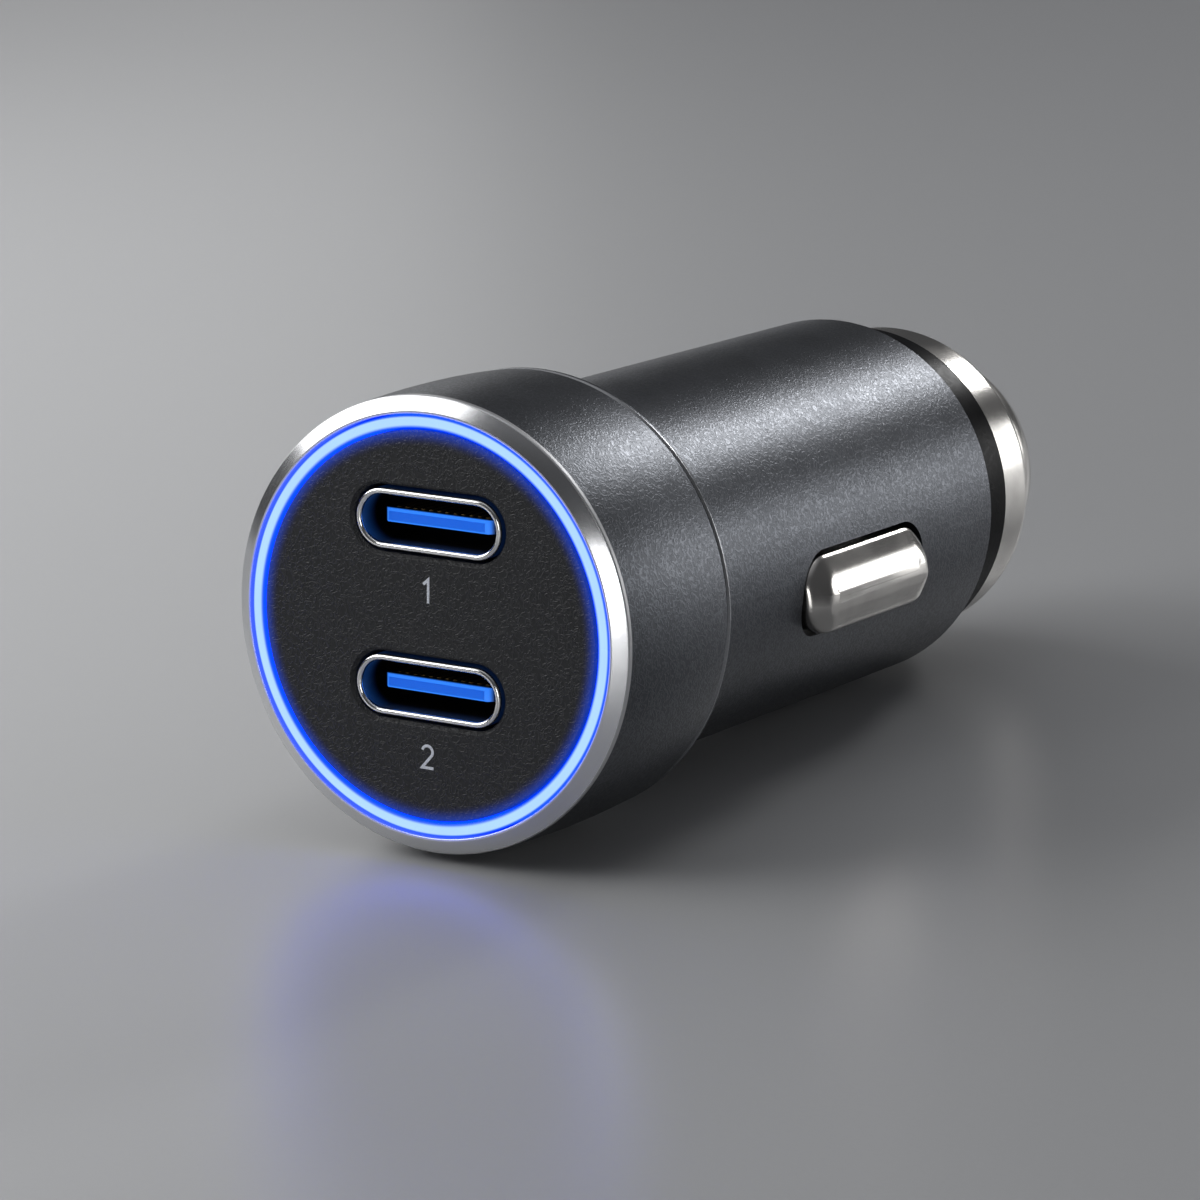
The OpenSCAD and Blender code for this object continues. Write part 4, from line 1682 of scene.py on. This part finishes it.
@dataclass(frozen=True)
class Barrel:
    """The barrel and its shoulder flange."""

    def build(self, bench: Bench) -> None:
        """Dresses the barrel."""
        bench.dress(bench.finishes.barrel, "barrel_shell")


def soft_most(one: float, other: float, soft: float) -> float:
    """The greater of two numbers, a little more where they are nearer than the soft width."""
    return 0.5 * (one + other + math.sqrt((one - other) ** 2 + soft * soft) - soft)


def roll(inset: float, radius: float) -> float:
    """Depth of a rounding at a distance from its edge."""
    reach = max(radius - max(inset, 0.0), 0.0)
    return radius - math.sqrt(max(radius * radius - reach * reach, 0.0))


@dataclass(frozen=True)
class SideContact:
    """A sprung bar with a bevelled near end, a chamfered upper edge and the foot that traps it."""

    length: float = 12.7
    travel: float = 1.1
    width: float = 4.3
    top: float = 11.5
    corner: float = 1.892
    ridge: float = -0.25
    slope_up: float = 0.47
    slope_down: float = 0.2
    ridge_soft: float = 0.35
    bevel: float = 0.95
    chamfer: float = 0.42
    edge_run: float = 0.95
    edge_soft: float = 0.22
    lower_round: float = 0.55
    end_round: float = 1.2
    rim_round: float = 0.2
    rim_rings: int = 5
    top_rings: int = 26
    core: float = 0.02
    foot_t: float = 0.6
    foot_lap: float = 0.75
    foot_top: float = 8.84
    foot_edge: float = 0.08
    drop: float = 6.0
    place: float = 0.5312
    crease: float = 50.0

    @property
    def half_l(self) -> float:
        """Half the distance between the centres of the corners, along the bar."""
        return self.length / 2 - self.corner

    @property
    def half_w(self) -> float:
        """Half the distance between the centres of the corners, across the bar."""
        return self.width / 2 - self.corner

    def outline(self, inset: float, count: int = 40) -> list[tuple[float, float]]:
        """The bar's outline, drawn in by a distance.

        Args:
            inset: The distance, less than the corner's radius.
            count: Points on each corner.

        Returns:
            Points along the bar and across it.
        """
        r = self.corner - inset
        found = []
        for quarter, (sy, sv) in enumerate(((1, 1), (-1, 1), (-1, -1), (1, -1))):
            for k in range(count):
                a = math.pi / 2 * (quarter + (k + 0.5) / count)
                found.append((sy * self.half_l + r * math.cos(a), sv * self.half_w + r * math.sin(a)))
        return found

    def depth(self, y: float, v: float, inset: float) -> float:
        """How far the bar's skin lies below its top.

        Args:
            y: Place along the bar.
            v: Place across it.
            inset: Distance to the outline.

        Returns:
            The depth.
        """
        from_ridge = v - self.ridge
        across = soft_most(self.slope_up * from_ridge, -self.slope_down * from_ridge, self.ridge_soft)
        across += roll(self.width / 2 + v, self.lower_round)
        past, beside = max(abs(y) - self.half_l, 0.0), max(abs(v) - self.half_w, 0.0)
        reach = math.hypot(past, beside)
        turn = (past / reach) ** 2 if reach > 1e-6 else 0.0
        ramp = soft_most(self.edge_run - inset, 0.0, self.edge_soft)
        side = self.chamfer * (1 - turn) if v > 0 else 0.0
        if y < 0:
            edge = (side + self.bevel * turn) * ramp
        else:
            edge = side * ramp + turn * roll(inset, self.end_round)
        return max(across + edge, 0.0) + roll(inset, self.rim_round)

    def bar(self) -> BMesh:
        """The bar and its foot, in the frame of the bar: U out of the barrel, Y along, V across.

        Returns:
            The mesh.
        """
        bm = bmesh.new()
        rim, run = self.rim_round, self.corner - self.core - self.rim_round
        insets = [rim * (1 - math.cos(math.pi / 2 * k / self.rim_rings)) for k in range(self.rim_rings + 1)]
        insets += [rim + run * k / self.top_rings for k in range(1, self.top_rings + 1)]
        rings = [[bm.verts.new((self.foot_top, y, v)) for y, v in self.outline(0.0)]]
        for inset in insets:
            spots = self.outline(inset)
            rings.append([bm.verts.new((self.top - self.depth(y, v, inset), y, v)) for y, v in spots])
        for one, other in zip(rings, rings[1:]):
            for k in range(len(one)):
                n = (k + 1) % len(one)
                bm.faces.new((one[k], one[n], other[n], other[k]))
        self.cap(bm, rings[-1])
        bm.faces.new(list(reversed(rings[0])))
        bmesh.ops.recalc_face_normals(bm, faces=bm.faces)
        lap = 2 * self.foot_lap
        foot = soft_box((self.foot_t, self.length + lap, self.width + lap), self.foot_edge)
        foot.transform(Matrix.Translation((self.foot_top - self.foot_t / 2, 0, 0)))
        kept = as_mesh("foot", foot)
        bm.from_mesh(kept)
        bpy.data.meshes.remove(kept)
        return bm

    def cap(self, bm: BMesh, ring: Sequence[bmesh.types.BMVert], rows: int = 14) -> None:
        """Closes the bar's top with narrow strips along it.

        Args:
            bm: The bar's mesh.
            ring: The top's last ring.
            rows: How many strips.
        """
        count = len(ring) // 4
        far, near = [*ring[3 * count:], *ring[:count]], list(ring[count:3 * count])
        upper, lower = [far[-1]], [near[0]]
        for k in range(1, rows):
            v = self.half_w - 2 * self.half_w * k / rows
            up = self.top - self.depth(0.0, v, self.corner)
            upper.append(bm.verts.new((up, self.half_l, v)))
            lower.append(bm.verts.new((up, -self.half_l, v)))
        upper.append(far[0])
        lower.append(near[-1])
        for k in range(rows):
            bm.faces.new((upper[k], lower[k], lower[k + 1], upper[k + 1]))
        bm.faces.new([*far, *upper[1:-1]])
        bm.faces.new([*near, *reversed(lower[1:-1])])

    def side(self, side: int) -> Matrix:
        """Carries the bar's frame to a side of the plug.

        Args:
            side: 1 for the right, -1 for the left.

        Returns:
            The matrix.
        """
        middle = SIZES.head_len + self.place * SIZES.barrel_len
        flip = Matrix.Diagonal((side, 1, 1, 1))
        return flip @ Matrix.Rotation(math.radians(self.drop), 4, "Y") @ Matrix.Translation((0, middle, 0))

    def build(self, bench: Bench) -> None:
        """Makes both bars and the leaf springs behind them.

        Args:
            bench: The bench that ties the pieces.
        """
        plated, bronze = bench.finishes.plated, bench.finishes.bronze
        for name, side, body in (("left", -1, Body.LEFT_CONTACT), ("right", 1, Body.RIGHT_CONTACT)):
            bar = self.bar()
            bar.transform(self.side(side))
            bmesh.ops.recalc_face_normals(bar, faces=bar.faces)
            tag = Tag(f"contact_bar_{name}", plated, "plated_steel", (f"side_contact_{name}",), body)
            bench.piece(bar, tag, self.crease)
            node = f"contact_spring_{name}"
            leaf = bmesh.new()
            leaf.from_mesh(bench.nodes[node].data)
            leaf.transform(LIE.matrix().inverted())
            spring = bench.piece(leaf, Tag(f"leaf_spring_{name}", bronze, "spring_bronze", (node,)))
            outward = LIE.direction(self.side(side).to_3x3() @ Vector((1, 0, 0)))
            bench.give(spring, f"side_contact_{name}_slide", outward.normalized(), self.travel)


@dataclass(frozen=True)
class Nose:
    """The black ring, the nose ring, the centre pin and the spring behind it."""

    hold: float = 0.05
    ring_steps: int = 10
    dome_steps: int = 28
    cup_chamfer: float = 0.4
    terminal_t: float = 0.4
    wire_d: float = 0.8
    wire_gap: float = 0.3
    turns: float = 6.5

    def insulator(self) -> BMesh:
        """The black ring with its spigot.

        Returns:
            The mesh.
        """
        size = SIZES
        step = size.nose_spigot_y - size.press_gap
        front = size.tail_y - size.insulator_spigot
        corners = [
            Corner(size.nose_bore_r, front),
            Corner(size.bore_r - size.press_gap, front),
            Corner(size.bore_r - size.press_gap, size.tail_y),
            Corner(size.insulator_r, size.tail_y, 0.05),
            Corner(size.insulator_r, size.insulator_end, 0.14),
            Corner(size.nose_spigot_r + size.press_gap, size.insulator_end),
            Corner(size.nose_spigot_r + size.press_gap, step),
            Corner(size.nose_bore_r, step),
        ]
        return turned(rounded_profile(corners))

    def ring(self) -> BMesh:
        """The nose ring with its round shoulder.

        Returns:
            The mesh.
        """
        size = SIZES
        lip_y = size.nose_end - size.nose_lip_t
        hole = size.pin_r + size.pin_gap
        corners = [
            Corner(size.nose_bore_r, size.nose_spigot_y),
            Corner(size.nose_spigot_r, size.nose_spigot_y),
            Corner(size.nose_spigot_r, size.insulator_end),
            Corner(size.nose_r, size.insulator_end, 0.06),
            Corner(size.nose_r, size.nose_end, size.nose_round),
            Corner(hole, size.nose_end, 0.12),
            Corner(hole, lip_y),
            Corner(size.nose_bore_r, lip_y),
        ]
        return turned(rounded_profile(corners, self.ring_steps))

    def pin(self) -> BMesh:
        """The domed centre pin, hollow behind.

        Returns:
            The mesh.
        """
        size = SIZES
        flange_end = size.pin_flange_y + size.pin_flange_t
        middle = (size.pin_r - size.pin_round, size.pin_end - size.pin_round)
        dome = arc(middle, size.pin_round, 0, 90, self.dome_steps)
        corners = [
            Corner(0, size.pin_cup_y),
            Corner(size.pin_cup_r - self.cup_chamfer, size.pin_cup_y),
            Corner(size.pin_cup_r, size.pin_cup_y - self.cup_chamfer),
            Corner(size.pin_cup_r, size.pin_flange_y),
            Corner(size.pin_flange_r, size.pin_flange_y),
            Corner(size.pin_flange_r, flange_end, 0.05),
            Corner(size.pin_r, flange_end),
            Corner(size.pin_r, dome[0][1] - self.hold),
            *(Corner(r, y) for r, y in dome),
            Corner(dome[-1][0] - self.hold, size.pin_end),
            Corner(0, size.pin_end),
        ]
        return turned(rounded_profile(corners))

    def build(self, bench: Bench) -> None:
        """Makes and dresses the nose.

        Args:
            bench: The bench that ties the pieces.
        """
        finishes = bench.finishes
        bench.piece(
            self.insulator(), Tag("black_ring", finishes.insulator, "insulator_black", ("insulator_ring",))
        )
        bench.piece(self.ring(), Tag("bright_nose_ring", finishes.plated, "plated_steel", ("nose_ring",)))
        bench.piece(self.pin(), Tag("domed_pin", finishes.plated, "plated_steel", ("centre_pin",), Body.PIN))
        start = SIZES.tail_y - SIZES.insulator_spigot + self.terminal_t
        radius = SIZES.pin_cup_r - self.wire_d / 2 - self.wire_gap
        spring = WoundWire(
            tag=Tag("coil_spring", finishes.steel, "spring_steel", ("pin_spring",)),
            centre=(0.0, start + self.wire_d / 2, 0.0),
            axis=WindingAxis.ALONG,
            start_r=radius,
            end_r=radius,
            rise=SIZES.pin_cup_y - SIZES.press_gap - start - self.wire_d,
            turns=self.turns,
            wire_d=self.wire_d,
            closed_ends=True,
        ).make(bench)
        bench.give(spring, "centre_pin_slide", LIE.direction((0, 1, 0)), SIZES.pin_travel)
        bench.dress(finishes.bronze, "centre_terminal")


@dataclass(frozen=True)
class Softbox:
    """A flat white lamp: where it stands, what it looks at, its size and its strength."""

    name: str
    stand_m: Point
    aim_m: Point
    width_m: float
    height_m: float
    watts: float

    def set_up(self) -> None:
        """Adds the lamp."""
        lamp = bpy.data.lights.new(self.name, "AREA")
        lamp.shape = "RECTANGLE"
        lamp.size, lamp.size_y = self.width_m, self.height_m
        lamp.energy = self.watts
        obj = placed(self.name, lamp)
        obj.location = self.stand_m
        look = Vector(self.aim_m) - Vector(self.stand_m)
        obj.rotation_euler = look.to_track_quat("-Z", "Y").to_euler()
        LOG.info("softbox %s, %.1f W", self.name, self.watts)


@dataclass(frozen=True)
class Studio:
    """The floor, the room's light, the softboxes and the camera."""

    floor_half_m: float = 2.5
    room: Colour = (0.30, 0.305, 0.32)
    horizon: float = 0.2
    eye: Point = (148.39, -220.20, 59.13)
    look: Point = (-0.5185, 0.8284, -0.2121)
    up: Point = (-0.1191, 0.1756, 0.9772)
    focal: float = 5278.7 / 1200
    sensor_mm: float = 36.0
    near_m: float = 0.01
    far_m: float = 20.0
    lamps: tuple[Softbox, ...] = (
        Softbox("overhead", (-0.20, 0.15, 0.95), (0.0, 0.0, 0.01), 1.0, 0.9, 0.78),
        Softbox("key_left", (-0.19, -0.08, 0.125), (0.0, -0.05, 0.0), 0.40, 0.11, 0.46),
        Softbox("far_left", (-0.98, 0.84, 0.40), (0.0, 0.1, 0.0), 0.75, 0.45, 0.98),
        Softbox("back_top", (0.09, 1.034, 0.53), (0.0, 0.0, 0.01), 0.19, 0.15, 2.25),
        Softbox("back_right", (0.48, 0.85, 0.12), (0.0, 0.0, 0.01), 0.32, 0.23, 0.88),
        Softbox("right_front", (0.224, -0.439, 0.085), (0.0, 0.0, 0.01), 0.14, 0.16, 0.32),
        Softbox("left_front", (-0.36, -0.335, 0.45), (0.0, 0.0, 0.01), 0.28, 0.22, 0.50),
    )

    def floor(self) -> None:
        """Lays a pale satin floor."""
        bm = bmesh.new()
        bmesh.ops.create_grid(bm, x_segments=8, y_segments=8, size=self.floor_half_m)
        obj = placed("floor", as_mesh("floor", bm))
        obj.data.materials.append(SatinFloor("satin_floor").make())

    def room_light(self) -> None:
        """Gives the room an even soft light, brighter overhead."""
        world = bpy.data.worlds.new("room")
        bpy.context.scene.world = world
        world.use_nodes = True
        world.node_tree.nodes.clear()
        tree = Tree(world.node_tree)
        _, _, up = tree.split(tree.node("ShaderNodeTexCoord").outputs["Generated"])
        colour = tree.mix(up.ease(0.6, 1.0), toned(self.room, self.horizon), self.room)
        light = tree.node("ShaderNodeBackground", {"Color": colour, "Strength": 1.0})
        tree.node("ShaderNodeOutputWorld", {"Surface": light.outputs[0]})

    def camera(self) -> None:
        """Stands the camera where the photograph was taken."""
        data = bpy.data.cameras.new("photograph")
        data.sensor_width = self.sensor_mm
        data.lens = self.focal * self.sensor_mm
        data.clip_start, data.clip_end = self.near_m, self.far_m
        obj = placed("photograph", data)
        back = -LIE.direction(self.look).normalized()
        right = LIE.direction(self.up).normalized().cross(back).normalized()
        turn = Matrix((right, back.cross(right), back)).transposed()
        obj.matrix_world = Matrix.Translation(LIE.point_m(self.eye)) @ turn.to_4x4()
        bpy.context.scene.camera = obj

    def set_up(self) -> None:
        """Sets up the whole studio."""
        bpy.context.scene.view_settings.view_transform = "Standard"
        self.camera()
        self.floor()
        self.room_light()
        for lamp in self.lamps:
            lamp.set_up()


def main() -> None:
    """Builds the plug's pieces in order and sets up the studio."""
    logging.basicConfig(level=logging.INFO, format="%(name)s: %(message)s")
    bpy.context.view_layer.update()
    Studio().set_up()
    bench = Bench(frame["nodes"], Finishes())
    ports = Ports()
    Head().build(bench, ports.heights())
    for assembly in (ports, Boards(), Barrel(), SideContact(), Nose()):
        assembly.build(bench)


if __name__ == "__main__":
    main()
